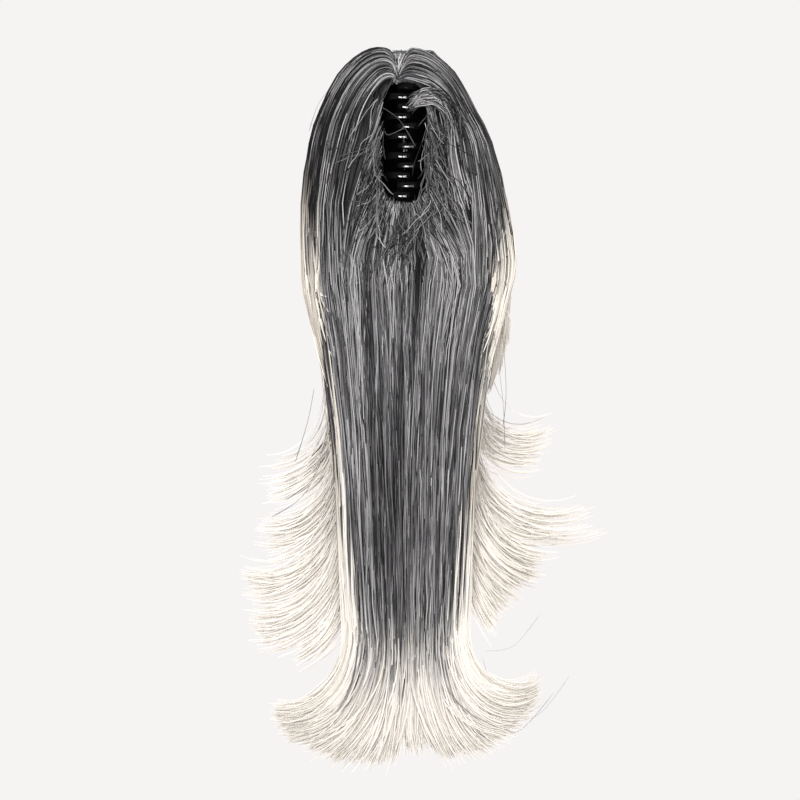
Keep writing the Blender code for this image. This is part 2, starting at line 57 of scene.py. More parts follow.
CROWN_REACH = 0.985  # how far the crown reaches to the right, as a share of SIDE
CLAW_SHARE = 0.97  # of the left jaw's reach, where the hair begins
SIDE = crown_high[0] / CROWN_REACH
NEAR = -crown_low[1]
FAR = crown_high[1]
TOP = crown_high[2]
BASE = -crown_low[2]
TIPS = -tail_low[2]
CLAW_TOP = jaw_high[2]
CLAW_HALF_WIDTH = -jaw_low[0] * CLAW_SHARE
CLAW_FRONT = -jaw_low[1]

# The camera's view of the photograph, 800 pixels square.
PHOTO_SIDE = 800
PIXEL = 0.0007  # metres at the claw
CLAW_PIXEL = (404, 143)  # where the photograph shows the origin
CAMERA_DISTANCE = 2.1
SENSOR = 36.0  # millimetres
FLOOR_DROP = 0.16  # below the tips
FLOOR_RADIUS, FLOOR_SIDES = 0.9, 96
FLOOR_COLOUR = (0.50, 0.49, 0.49, 1)
WORLD_COLOUR = (0.925, 0.897, 0.900, 1)
LAMPS_AIM = (0, 0, -0.15)
LAMPS = (
    ("top", (-0.2, -1.1, 1.7), 0.9, 26),
    ("key", (-1.0, -1.7, 0.6), 1.0, 14),
    ("fill", (1.2, -1.7, 0.1), 1.2, 13),
    ("rim", (0.5, 1.6, 1.2), 0.9, 18),
)

# Strands. Each stands for a few hairs, which part a little before their tips.
STRAND_RADIUS = 0.00031
RADIUS_SHARES = (0.75, 1.25)  # the thinnest and the thickest strand's
STRAND_SIDES = 3
TAPER_PLACES = (0, 0.08, 0.60, 0.85, 1)  # shares of a strand's length
TAPER = (0.7, 1, 1, 1.90, 0.60)  # shares of its radius there
FADE = 0.060  # how far a strand takes to turn from grey to cream


def height(share):
    """The height of a share: 1 is the top of the crown, 0 the origin and -1 the tips of the tail."""
    share = np.asarray(share, float)
    return np.where(share > 0, share * TOP, share * TIPS)


def share_at(z):
    """The share that a height is."""
    z = np.asarray(z, float)
    return np.where(z > 0, z / TOP, z / TIPS)


# The crown's level sections, as shares of the sizes above, and how square they are, where 1 is an ellipse.
SQUARE = 0.88
FACE_POWER = 2.27  # the same for its near face, about 2 / SQUARE
FACE_END = 0.97  # how far across its near face is followed
Section = namedtuple("Section", "height left right near far")
CROWN = [Section(*row) for row in (
    (1.00, 0.10, 0.06, -0.05, 0.30),
    (0.97, 0.24, 0.18, 0.15, 0.46),
    (0.90, 0.39, 0.31, 0.45, 0.63),
    (0.80, 0.51, 0.42, 0.68, 0.76),
    (0.68, 0.60, 0.50, 0.83, 0.84),
    (0.52, 0.68, 0.57, 0.93, 0.91),
    (0.30, 0.75, 0.67, 0.98, 0.96),
    (0.00, 0.82, 0.78, 1.00, 1.00),
    (-0.05, 0.88, 0.87, 1.00, 1.00),
    (-0.10, 0.91, 0.94, 0.98, 1.00),
    (-0.14, 0.92, 0.98, 0.96, 0.98),
    (-0.22, 0.90, 0.99, 0.94, 0.95),
    (-0.30, 0.80, 0.90, 0.91, 0.84),
    (-0.40, 0.70, 0.76, 0.88, 0.72),
)]

# The depths of the surfaces between the layers, from the head side out, as shares of FAR, and near of NEAR.
Fall = namedtuple("Fall", "height near long low mid high far")
FALL = [Fall(*row) for row in (
    (-0.14, 0.96, -0.04, 0.21, 0.45, 0.69, 0.98),
    (-0.25, 0.93, -0.06, 0.18, 0.41, 0.64, 0.92),
    (-0.33, 0.89, -0.07, 0.16, 0.38, 0.59, 0.77),
    (-0.42, 0.85, -0.09, 0.14, 0.34, 0.54, 0.62),
    (-0.52, 0.81, -0.10, 0.12, 0.30, 0.46, 0.50),
    (-0.64, 0.74, -0.11, 0.10, 0.24, 0.34, 0.40),
    (-0.75, 0.67, -0.12, 0.05, 0.14, 0.20, 0.26),
    (-0.86, 0.59, -0.11, 0.02, 0.08, 0.12, 0.16),
    (-1.00, 0.44, -0.09, 0.00, 0.04, 0.08, 0.12),
)]
# How far each surface comes towards the head side at SIDE, as a share of FAR.
BOW = Fall(None, -0.40, 0.02, 0.08, 0.15, 0.24, 0.50)

# Where the tail's sides are, from the crown down, as shares of SIDE.
Sides = namedtuple("Sides", "height left right")
TAIL_SIDES = [Sides(*row) for row in (
    (0.00, -0.81, 0.76),
    (-0.045, -0.87, 0.865),
    (-0.09, -0.895, 0.92),
    (-0.14, -0.895, 0.955),
    (-0.19, -0.875, 0.965),
    (-0.24, -0.85, 0.92),
    (-0.29, -0.80, 0.85),
    (-0.34, -0.74, 0.77),
    (-0.42, -0.68, 0.70),
    (-0.50, -0.63, 0.65),
    (-0.65, -0.58, 0.60),
    (-0.80, -0.53, 0.56),
    (-1.00, -0.46, 0.48),
)]

# Arches over the crown in the head side's view, as (x, z) shares of SIDE and TOP, from the parting outwards.
PARTING = (-0.063, 0.625)
ARCHES = {
    -1: (
        ((-0.10, 0.64), (-0.16, 0.63), (-0.22, 0.57), (-0.30, 0.44), (-0.37, 0.26), (-0.43, 0.00)),
        ((-0.09, 0.86), (-0.19, 0.965), (-0.36, 0.92), (-0.56, 0.69), (-0.72, 0.33), (-0.81, -0.01)),
    ),
    1: (
        ((0.01, 0.63), (0.12, 0.60), (0.27, 0.53), (0.39, 0.38), (0.47, 0.16), (0.53, -0.01)),
        ((0.01, 0.87), (0.09, 0.965), (0.25, 0.89), (0.455, 0.655), (0.62, 0.325), (0.765, -0.01)),
    ),
}

# How the tail's strands end, across it from left to right. turn is in degrees from straight down, length is a
# share of TIPS, and curl is how late along the end it turns.
End = namedtuple("End", "across turn length curl")
TAIL_ENDS = [End(*row) for row in (
    (-1.0, 102, 0.206, 1.3),
    (-0.7, 80, 0.229, 1.4),
    (-0.4, 52, 0.222, 1.3),
    (-0.1, 14, 0.196, 1.3),
    (0.1, 8, 0.160, 1.3),
    (0.3, 30, 0.196, 1.3),
    (0.5, 48, 0.209, 1.4),
    (0.7, 78, 0.211, 1.5),
    (0.9, 112, 0.206, 1.5),
    (1.0, 130, 0.190, 1.4),
)]

# The locks that leave the layers sideways. start and length are shares of TIPS, ragged is how unequal a lock's
# strands are, late is how much further down than their layer's they turn pale, and count is of strands.
SideLock = namedtuple("SideLock", "layer side start length turn curl ragged late count")
SIDE_LOCKS = [SideLock(*row) for row in (
    ("layer_high", 1, -0.394, 0.206, 116, 1.2, 0.40, 0.00, 44),
    ("layer_high", 1, -0.401, 0.202, 98, 1.3, 0.35, 0.02, 50),
    ("layer_mid", 1, -0.455, 0.375, 106, 1.25, 0.40, 0.03, 40),
    ("layer_mid", 1, -0.490, 0.270, 92, 1.3, 0.35, 0.02, 50),
    ("layer_mid", 1, -0.520, 0.240, 78, 1.3, 0.15, 0.00, 80),
    ("layer_low", 1, -0.540, 0.206, 64, 1.2, 0.06, 0.00, 100),
    ("layer_low", 1, -0.573, 0.188, 48, 1.2, 0.06, 0.00, 90),
    ("layer_low", 1, -0.620, 0.167, 34, 1.1, 0.08, 0.00, 80),
    ("layer_high", -1, -0.405, 0.255, 80, 1.3, 0.40, 0.02, 60),
    ("layer_high", -1, -0.430, 0.190, 58, 1.3, 0.50, 0.12, 44),
    ("layer_mid", -1, -0.490, 0.250, 84, 1.3, 0.25, 0.00, 100),
    ("layer_mid", -1, -0.545, 0.275, 88, 1.3, 0.15, 0.00, 120),
    ("layer_low", -1, -0.620, 0.262, 86, 1.3, 0.15, 0.00, 120),
    ("layer_low", -1, -0.670, 0.200, 62, 1.3, 0.25, 0.00, 80),
)]

# Where the strands are darker or lighter than elsewhere in the head side's view, as shares of SIDE. Most are
# the hair's own tone; the crease and the streak below the claw, the hollow beside it and the blunt locks at
# the right are painted shade.
PATCH_DEPTH = 0.3  # how deep they reach, as a share of FAR
Patch = namedtuple("Patch", "x z wide tall shift")
TONE_AND_SHADE_PATCHES = [Patch(*row) for row in (
    (0.12, -1.05, 0.05, 0.32, -0.50),  # painted shade in the crease below the claw
    (0.42, 0.22, 0.08, 0.28, -0.32),  # painted shade in the hollow beside the claw
    (0.60, -0.25, 0.08, 0.50, 0.26),  # a silver streak
    (-0.86, -0.30, 0.035, 0.50, -0.70),  # the dark left edge
    (-0.79, -0.10, 0.022, 0.40, 0.45),  # a silver streak beside it
    (-0.12, -3.30, 0.20, 0.90, -0.14),  # the middle of the tail
    (0.00, -1.15, 0.60, 0.70, 0.17),  # below the claw
    (0.13, -1.20, 0.05, 0.65, -0.28),  # painted shade down the crease below the claw
    (0.00, -3.90, 0.60, 0.50, 0.08),  # above the ends
    (0.55, -0.35, 0.20, 0.50, -0.10),  # the crown's right side
    (-0.50, -0.20, 0.30, 0.80, -0.17),  # the crown's left side
    (-0.80, 0.05, 0.08, 0.60, -0.40),  # the black band at the crown's left edge
    (0.98, -3.95, 0.38, 0.60, -0.60),  # painted shade on the blunt locks at the right
    (-1.30, -3.60, 0.60, 1.20, 0.35),  # the pale fans at the left
    (-0.55, -2.60, 0.10, 1.20, 0.12),  # the tail's left side
    (0.50, -2.90, 0.12, 1.20, 0.08),  # its right side
)]

# Single stray strands in the head side's view, through three places. pale is how light one is, and lift is
# how far it is in front of the hair. The places and the lift are shares of SIDE.
Stray = namedtuple("Stray", "x0 z0 x1 z1 x2 z2 pale lift")
STRAYS = [Stray(*row) for row in (
    (-0.206, 0.29, -0.04, 0.17, 0.10, -0.06, 0, 0.02),
    (-0.17, 0.07, -0.13, 0.04, 0.02, 0.11, 0, 0.02),
    (0.16, -0.05, 0.21, -0.20, 0.11, -0.56, 0, 0.03),
    (-0.10, 0.55, -0.16, 0.40, -0.20, 0.33, 0, 0.02),
    (0.36, 0.30, 0.38, 0.10, 0.28, -0.10, 0, 0.05),
    (0.30, 0.32, 0.20, 0.10, 0.16, -0.03, 0, 0.04),
    (0.73, -4.54, 0.98, -4.50, 1.22, -4.23, 1, 0.0),
    (0.87, -1.60, 0.91, -2.20, 0.88, -2.55, 0, 0.0),
    (0.80, -1.70, 0.88, -2.30, 0.90, -2.75, 0.4, 0.0),
    (-0.80, -2.20, -0.86, -2.50, -0.97, -2.85, 0.3, 0.0),
    (-0.66, -2.40, -0.78, -2.95, -1.06, -3.20, 0.2, 0.0),
    (-0.66, -2.50, -0.86, -3.10, -1.20, -3.36, 0.4, 0.0),
    (0.86, -5.17, 1.20, -5.14, 1.50, -4.80, 1, 0.0),
    (0.70, -4.60, 0.95, -5.28, 1.36, -4.94, 1, 0.0),
    (-0.54, 0.61, -0.75, 0.37, -0.85, 0.10, 0, 0.0),
)]


def column(table, name, at):
    """A table's column at heights given as shares, on straight lines between its rows."""
    rows = sorted(table, key=lambda row: row.height)
    return np.interp(at, [row.height for row in rows], [getattr(row, name) for row in rows])


def crown_edges(z):
    at = share_at(z)
    left, right = -column(CROWN, "left", at) * SIDE, column(CROWN, "right", at) * SIDE
    near, far = -column(CROWN, "near", at) * NEAR, column(CROWN, "far", at) * FAR
    return left, right, near, far


def crown_face(x, z):
    """The depth of the crown's near surface at x and z. Past FACE_END it stays level."""
    left, right, near, far = crown_edges(z)
    across = np.clip(np.abs(x - (left + right) / 2) / ((right - left) / 2), 0, FACE_END)
    return (near + far) / 2 - (1 - across**FACE_POWER) ** (SQUARE / 2) * (far - near) / 2


def around(turn, z):
    """The point of the crown's section at a height and at an angle from +X round to +Y."""
    left, right, near, far = crown_edges(z)
    c, s = np.cos(turn), np.sin(turn)
    x = (left + right) / 2 + np.sign(c) * np.abs(c) ** SQUARE * (right - left) / 2
    y = (near + far) / 2 + np.sign(s) * np.abs(s) ** SQUARE * (far - near) / 2
    return np.stack([x, y, np.broadcast_to(z, x.shape)], -1)


def layer_face(name, x, z):
    """The depth of one of FALL's surfaces at x and z."""
    size = -NEAR if name == "near" else FAR
    depth = column(FALL, name, share_at(z)) * size
    return depth - getattr(BOW, name) * FAR * (x / SIDE) ** 2


def through(points, at):
    """Smooth curves through points, strands by points by axes, read at places counted in points."""
    last = points.shape[1] - 1
    at = np.asarray(at, float)
    i = np.minimum(at.astype(int), last - 1)
    f = (at - i)[None, :, None]
    before, a = points[:, np.maximum(i - 1, 0)], points[:, i]
    b, after = points[:, i + 1], points[:, np.minimum(i + 2, last)]
    return 0.5 * (
        2 * a
        + (b - before) * f
        + (2 * before - 5 * a + 4 * b - after) * f**2
        + (3 * a - before - 3 * b + after) * f**3
    )


def unit(vectors):
    return vectors / np.maximum(np.linalg.norm(vectors, axis=-1, keepdims=True), 1e-9)


def sideways(x, y):
    """Level directions of the given x and y."""
    x, y = np.broadcast_arrays(x, y)
    return np.stack([x, y, np.zeros(len(x))], -1)


def along_of(paths):
    """From 0 at a strand's root to 1 at its tip, for each of its points."""
    return np.linspace(0, 1, paths.shape[1])


def flicked(paths, outward, length, turn, curl, count):
    """The paths with an end that turns from its heading towards outward, by turn degrees in all."""
    share = np.arange(1, count + 1) / count
    angle = np.radians(turn)[:, None] * share[None, :] ** curl[:, None]
    start = unit(paths[:, -1] - paths[:, -2])
    heading = outward[:, None] * np.sin(angle)[..., None] + start[:, None] * np.cos(angle)[..., None]
    end = paths[:, -1:] + np.cumsum(heading * (length / count)[:, None, None], axis=1)
    return np.concatenate([paths, end], axis=1)


def slow_change(rng, paths, every, size):
    """A random value for each point of each strand, which changes smoothly over a given length of it."""
    steps = np.linalg.norm(np.diff(paths, axis=1), axis=2)
    at = np.concatenate([np.zeros((len(paths), 1)), np.cumsum(steps, axis=1)], 1) / every
    knots = rng.normal(0, size, (len(paths), int(at.max()) + 2))
    low = at.astype(int)
    first, second = (np.take_along_axis(knots, low + k, 1) for k in (0, 1))
    return first + (second - first) * smooth(0, 1, at - low)


def wander(rng, paths, every, size):
    """The paths with slow drifts to all sides, which are nothing at the roots."""
    drift = np.stack([slow_change(rng, paths, every, size) for _ in range(3)], -1)
    return paths + drift * along_of(paths)[None, :, None] ** 0.7


def gathered(paths, group, least, more=0, low=0, high=1):
    """Paths drawn to the middle of their group, by least and by up to more on top from low to high."""
    groups = int(group.max()) + 1
    counts = np.bincount(group, minlength=groups)[:, None, None]
    middle = np.zeros((groups, *paths.shape[1:]))
    np.add.at(middle, group, paths)
    middle /= np.maximum(counts, 1)
    share = least + more * smooth(low, high, along_of(paths))
    return paths + (middle[group] - paths) * share[None, :, None]


def groups_of(order, size):
    """Neighbours in order, put into groups of about size."""
    rank = np.argsort(np.argsort(order))
    return (rank // size).astype(int)


def per_group(rng, spread, group):
    """A random value for each group, at each of its strands."""
    return rng.normal(0, spread, int(group.max()) + 1)[group]


def smooth(low, high, value):
    share = np.clip((value - low) / (high - low), 0, 1)
    return share * share * (3 - 2 * share)


# Materials.


def node_material(name):
    made = bpy.data.materials.new(name)
    made.use_nodes = True
    tree = made.node_tree
    return made, tree, tree.nodes["Principled BSDF"]


def ramp(tree, stops, factor):
    """A colour ramp node with stops of (place, colour)."""
    node = tree.nodes.new("ShaderNodeValToRGB")
    while len(node.color_ramp.elements) < len(stops):
        node.color_ramp.elements.new(0.5)
    for element, (place, colour) in zip(node.color_ramp.elements, stops):
        element.position = place
        element.color = (*colour, 1.0)
    tree.links.new(factor, node.inputs["Fac"])
    return node.outputs["Color"]


def add_node(tree, kind, inputs, output=0, **settings):
    """One output of a new node, with values or other nodes' outputs put into its inputs."""
    made = tree.nodes.new(kind)
    for name, value in settings.items():
        setattr(made, name, value)
    for key, value in inputs.items():
        if isinstance(value, bpy.types.NodeSocket):
            tree.links.new(value, made.inputs[key])
        else:
            made.inputs[key].default_value = value
    return made.outputs[output]


def attribute(tree, name):
    return add_node(tree, "ShaderNodeAttribute", {}, "Fac", attribute_name=name)


def noise(tree, scale, tall, detail=2.0):
    """Noise over the object's own coordinates, with its cells stretched upwards."""
    place = add_node(tree, "ShaderNodeTexCoord", {}, "Object")
    place = add_node(tree, "ShaderNodeMapping", {"Vector": place, "Scale": (1, 1, 1 / tall)})
    return add_node(tree, "ShaderNodeTexNoise", {"Vector": place, "Scale": scale, "Detail": detail}, "Fac")


def mixed(tree, factor, first, second, kind="MIX"):
    """Two colours mixed. They go into the node's inputs 6 and 7 and come out of its output 2."""
    inputs = {0: factor, 6: first, 7: second}
    return add_node(tree, "ShaderNodeMix", inputs, 2, data_type="RGBA", blend_type=kind)


def mapped(tree, value, low, high):
    """A value from 0 to 1 put between low and high."""
    return add_node(tree, "ShaderNodeMapRange", {"Value": value, "To Min": low, "To Max": high}, "Result")


def paleness(tree):
    """From 0 to 1 over FADE below the height where the hair turns pale."""
    place = add_node(tree, "ShaderNodeTexCoord", {}, "Object")
    z = add_node(tree, "ShaderNodeSeparateXYZ", {"Vector": place}, "Z")
    below = add_node(tree, "ShaderNodeMath", {0: attribute(tree, "pale_from"), 1: z}, operation="SUBTRACT")
    inputs = {"Value": below, "From Max": FADE}
    return add_node(tree, "ShaderNodeMapRange", inputs, "Result", interpolation_type="SMOOTHSTEP")


# The colours of the hair by its tone, dyed and pale, and those of the packed fibres behind it, which are
# darker than the strands' as painted shade in the gaps between them.
DYED = (
    (0.10, (0.003, 0.0028, 0.0034)),
    (0.30, (0.020, 0.0195, 0.0215)),
    (0.60, (0.135, 0.1325, 0.137)),
    (1.00, (0.45, 0.447, 0.452)),
)
CREAM = (
    (0.00, (0.34, 0.305, 0.255)),
    (0.10, (0.69, 0.650, 0.585)),
    (0.20, (0.745, 0.708, 0.642)),
    (0.80, (0.775, 0.742, 0.683)),
    (1.00, (0.82, 0.790, 0.742)),
)
CORE_SHADE_DYED = ((0.35, (0.006, 0.006, 0.007)), (0.75, (0.035, 0.034, 0.037)))
CORE_SHADE_CREAM = ((0.35, (0.45, 0.39, 0.33)), (0.75, (0.70, 0.63, 0.55)))
UNEVEN = ((0.3, (0.55,) * 3), (0.7, (1.0,) * 3))
DYED_UNEVEN, CREAM_UNEVEN = 0.6, 0.06  # how much the fine streaks show on each


def hair_material():
    """Strands from near black to silver by their tone, or from tan to cream where they are pale."""
    made, tree, shader = node_material("hair")
    tone = attribute(tree, "tone")
    dyed = ramp(tree, DYED, tone)
    cream = ramp(tree, CREAM, tone)
    streaks = noise(tree, 900, 9)
    uneven = ramp(tree, UNEVEN, streaks)
    dyed = mixed(tree, DYED_UNEVEN, dyed, uneven, "MULTIPLY")
    cream = mixed(tree, CREAM_UNEVEN, cream, uneven, "MULTIPLY")
    pale = paleness(tree)
    tree.links.new(mixed(tree, pale, dyed, cream), shader.inputs["Base Color"])
    tree.links.new(mapped(tree, streaks, 0.34, 0.50), shader.inputs["Roughness"])
    shader.inputs["Specular IOR Level"].default_value = 0.15
    return made


def core_material():
    """The packed fibres behind the strands, darker than them as painted shade in the gaps between strands,
    with faint upright streaks.
    """
    made, tree, shader = node_material("packed_hair_shade")
    streaks = noise(tree, 700, 40)
    dyed = ramp(tree, CORE_SHADE_DYED, streaks)
    cream = ramp(tree, CORE_SHADE_CREAM, streaks)
    tree.links.new(mixed(tree, paleness(tree), dyed, cream), shader.inputs["Base Color"])
    shader.inputs["Roughness"].default_value = 0.7
    return made


# Meshes.


def add_object(name, data):
    made = bpy.data.objects.new(name, data)
    bpy.context.scene.collection.objects.link(made)
    return made


def set_values(mesh, label, values):
    """A value for each point of a mesh, which the materials read."""
    layer = mesh.attributes.new(label, "FLOAT", "POINT")
    layer.data.foreach_set("value", np.asarray(values, np.float32))


def headings(paths):
    return unit(np.gradient(paths, axis=1))


def turned_out(paths, outward):
    """What faces outwards on strands that bend in upright planes, in the given directions."""
    return np.cross(headings(paths), sideways(-outward[:, 1], outward[:, 0])[:, None])


def strand_mesh(name, strands, radius, material):
    """One mesh of closed tapered strands, each with its own radius and one of its sides turned outwards."""
    paths, tone, pale_from, facing = strands
    n, count, _ = paths.shape
    heading = headings(paths)
    side = unit(np.cross(heading, facing))
    front = np.cross(side, heading)
    size = radius[:, None] * np.interp(along_of(paths), TAPER_PLACES, TAPER)
    turns = np.arange(STRAND_SIDES) * 2 * np.pi / STRAND_SIDES
    rings = [paths - (front * math.cos(turn) + side * math.sin(turn)) * size[..., None] for turn in turns]
    points = np.stack(rings, axis=2).reshape(-1, 3)

    ring = np.arange(n * count).reshape(n, count) * STRAND_SIDES
    lower, upper = ring[:, :-1], ring[:, 1:]
    sides = []
    for k in range(STRAND_SIDES):
        after = (k + 1) % STRAND_SIDES
        sides.append(np.stack([lower + k, lower + after, upper + after, upper + k], -1))
    quads = np.stack(sides, axis=2).reshape(-1, 4)
    corners = np.arange(STRAND_SIDES)
    caps = np.concatenate([ring[:, :1] + corners[::-1], ring[:, -1:] + corners])

    mesh = bpy.data.meshes.new(name)
    mesh.vertices.add(len(points))
    mesh.vertices.foreach_set("co", points.astype(np.float32).ravel())
    mesh.loops.add(quads.size + caps.size)
    mesh.loops.foreach_set("vertex_index", np.concatenate([quads.ravel(), caps.ravel()]).astype(np.int32))
    mesh.polygons.add(len(quads) + len(caps))
    starts = np.concatenate([np.arange(len(quads)) * 4, quads.size + np.arange(len(caps)) * 3])
    mesh.polygons.foreach_set("loop_start", starts.astype(np.int32))
    mesh.update(calc_edges=True)
    set_values(mesh, "tone", np.repeat(tone.ravel(), STRAND_SIDES))
    set_values(mesh, "pale_from", np.repeat(pale_from.ravel(), STRAND_SIDES))
    bake_map(mesh, n, count)
    mesh.shade_flat()
    mesh.materials.append(material)
    return add_object(name, mesh)


CELL_TALL = 24  # how tall a strand's cell in the map is, in its widths


def bake_map(mesh, n, count):
    """A UV map with a tall cell for each strand, its sides next to each other."""
    rows = max(1, round(math.sqrt(n / CELL_TALL)))
    columns = math.ceil(n / rows)
    index = np.arange(n)
    left, low = (index % columns) / columns, (index // columns) / rows
    width, tall = 1 / columns, 1 / rows
    margin = 0.1
    along = np.linspace(margin, 1 - margin, count) * tall
    uv = np.empty((n, count - 1, STRAND_SIDES, 4, 2))
    for k in range(STRAND_SIDES):
        start = left + (margin + (1 - 2 * margin) * k / STRAND_SIDES) * width
        end = left + (margin + (1 - 2 * margin) * (k + 1) / STRAND_SIDES) * width
        uv[:, :, k, 0, 0] = uv[:, :, k, 3, 0] = start[:, None]
        uv[:, :, k, 1, 0] = uv[:, :, k, 2, 0] = end[:, None]
        uv[:, :, k, 0, 1] = uv[:, :, k, 1, 1] = low[:, None] + along[None, :-1]
        uv[:, :, k, 2, 1] = uv[:, :, k, 3, 1] = low[:, None] + along[None, 1:]
    corner = np.array([[0.0, 0.0], [1.0, 0.0], [0.5, 1.0]]) * (width * 0.5, tall * margin * 0.5)
    caps = [np.stack([left + width * 0.25, low + tall * up], -1)[:, None] + corner for up in (0.01, 0.94)]
    layer = mesh.uv_layers.new(name="OFBake")
    layer.uv.foreach_set("vector", np.concatenate([uv.ravel(), np.ravel(caps)]).astype(np.float32))


def shell(name, rings, pale_from, material):
    """A closed body through level rings, which turns pale below a height."""
    rings = np.asarray(rings)
    count, sides, _ = rings.shape
    faces = [
        (i * sides + j, i * sides + (j + 1) % sides, (i + 1) * sides + (j + 1) % sides, (i + 1) * sides + j)
        for i in range(count - 1)
        for j in range(sides)
    ]
    faces += [tuple(range(sides))[::-1], tuple((count - 1) * sides + j for j in range(sides))]
    mesh = bpy.data.meshes.new(name)
    mesh.from_pydata([tuple(point) for point in rings.reshape(-1, 3)], [], faces)
    set_values(mesh, "pale_from", np.full(count * sides, pale_from))
    mesh.shade_flat()
    mesh.materials.append(material)
    return add_object(name, mesh)


def finish_piece(piece, slot, *nodes):
    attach(piece, "hairpiece")
    if nodes:
        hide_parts(*nodes)


# Strands: their paths, a tone and the height of their paling for each point, and what their flat side faces.
Strands = namedtuple("Strands", "paths tone pale_from facing")
HEAD_SIDE, FAR_SIDE = (0.0, -1.0, 0.0), (0.0, 1.0, 0.0)
NEVER_PALE = -1.0  # below all the hair


def facing_head(paths, tone, pale_from):
    return Strands(paths, tone, pale_from, np.tile(HEAD_SIDE, (len(paths), 1, 1)))


# How much the tones vary between groups, strands and wisps, how slowly and by how much they change down a
# strand, and their middle and contrast at two heights.
GROUP_TONES, OWN_TONES, WISP_TONES = 0.32, 0.36, 0.08
SLOW_TONES = (0.035, 0.15)
TONE_HEIGHTS = (-BASE * 2.5, 0)
TONE_MIDDLES, TONE_CONTRASTS = (0.56, 0.455), (0.95, 1.6)
DARKEST = 0.10


def streaked_tone(rng, fine, wisp, paths):
    """Tones that differ between strands, change slowly down each, and follow the patches of tone and painted
    shade in the head side's view.
    """
    base = rng.uniform(-GROUP_TONES, GROUP_TONES, int(fine.max()) + 1)[fine]
    own = (rng.beta(0.8, 0.9, len(paths)) - 0.5) * OWN_TONES
    broad = per_group(rng, WISP_TONES, wisp)
    change = (base + broad + own)[:, None] + slow_change(rng, paths, *SLOW_TONES)
    middle = np.interp(paths[..., 2], TONE_HEIGHTS, TONE_MIDDLES)
    tone = middle + change * np.interp(paths[..., 2], TONE_HEIGHTS, TONE_CONTRASTS)
    x, near, z = paths[..., 0] / SIDE, paths[..., 1] < FAR * PATCH_DEPTH, paths[..., 2] / SIDE
    for patch in TONE_AND_SHADE_PATCHES:
        away = ((x - patch.x) / patch.wide) ** 2 + ((z - patch.z) / patch.tall) ** 2
        tone += near * patch.shift * np.exp(-away)
    return np.clip(tone, DARKEST, 1)


def faded(rng, paths, start, spread):
    """The height where each strand turns pale, near start, for each of its points."""
    own = start + rng.normal(0, spread, len(paths))
    return np.broadcast_to(own[:, None], paths.shape[:2])


DULL_FADE = (-0.010, 0.020)  # how far below the height of their paling strands are dulled


def dulled(tone, paths, pale, share):
    """Tones that are lower by a share where the strands are pale."""
    return tone * (1 - share * smooth(*DULL_FADE, pale - paths[..., 2]))


def tail_x(u, z):
    """The x of u, a place across the tail from -1 at its left side to 1 at its right."""
    at = share_at(z)
    left, right = column(TAIL_SIDES, "left", at) * SIDE, column(TAIL_SIDES, "right", at) * SIDE
    return (left + right) / 2 + u * (right - left) / 2


CROWN_FADE = (-BASE * 1.9, -BASE * 0.5)  # between these heights the crown's near face runs into the tail's


def near_depth(x, z):
    """The depth of the head side's surface."""
    crown = smooth(*CROWN_FADE, z)
    return crown_face(x, z) * crown + layer_face("near", x, z) * (1 - crown)


# The hair that shows from the head side, which comes from the parting and from round the claw.

# How much of the tail's half width comes from below the claw, and from there and beside it.
BOTTOM_ROOTS, SIDE_ROOTS = 0.54, 0.66
ROOT_TOP = 0.036  # the highest root beside the claw
ROOT_STEPS = np.array([0.0, 0.10, 0.24, 0.42, 0.64, 0.86])  # the way from a root down to the tail
FAN = 1.4  # how early on that way the strands fan out
LONG_FALL = (-0.23, -0.33, -0.46, -0.63)
SHORT_FALL = (-0.19, -0.24)
BACK_FALL = (-0.30, -0.46, -0.63)
BODY_END = (0.5, 1, 1.5, 2)  # places from the last height of a fall but one to where the end starts
TAIL_DRIFT = 0.048  # how far strands drift across the tail from one height of their fall to the next
TAIL_DEPTHS = (0.0035, 0.006, 0.010)  # how deep the strands lie at the origin, at BASE and at TIPS
ROUND_EDGE = 0.88  # where across the tail they begin to fill it to its far side


def tail_strands(rng, u, x, z, fall, turn_from, places, depth=None):
    """Straight strands from the given places, over the head side and down the heights of a fall."""
    n = len(u)
    heights = np.concatenate([np.broadcast_to(height(fall), (n, len(fall))), turn_from[:, None]], 1)
    drift = np.cumsum(rng.normal(0, TAIL_DRIFT, heights.shape), axis=1) * (1 - 0.8 * np.abs(u[:, None]) ** 3)
    x = np.concatenate([x, tail_x(u[:, None] + drift, heights)], 1)
    z = np.concatenate([z, heights], 1)
    flat = through(np.stack([x, z], -1), places)
    x, z = flat[..., 0], flat[..., 1]
    near, far = near_depth(x, z), layer_face("long", x, z)
    if depth is None:
        thick = np.interp(-z, (0, BASE, TIPS), TAIL_DEPTHS)
        edge = smooth(ROUND_EDGE, 1.0, np.abs(u))[:, None] * smooth(0, -BASE * 1.4, z)
        thick = thick * (1 - edge) + (far - near) * edge
        depth = rng.uniform(0, 1, n)[:, None] ** (1.6 - 0.6 * edge) * thick
        y = near - 0.0012 + depth
    else:
        y = near + (far - near) * depth[:, None]
    return wander(rng, np.stack([x, y, z], -1), 0.040, 0.0010)


# Where the tail turns pale: in its middle, how much higher at its sides, and how much higher still for some
# strands there. Above the tail's ends these are dulled.
PALE_START, PALE_RISE, PALE_EARLY = -0.775, 0.18, 0.60
PALE_SIDES = (0.74, 0.95)
SIDE_DULL, DULL_HEIGHTS = 0.93, (-0.72, -0.60)


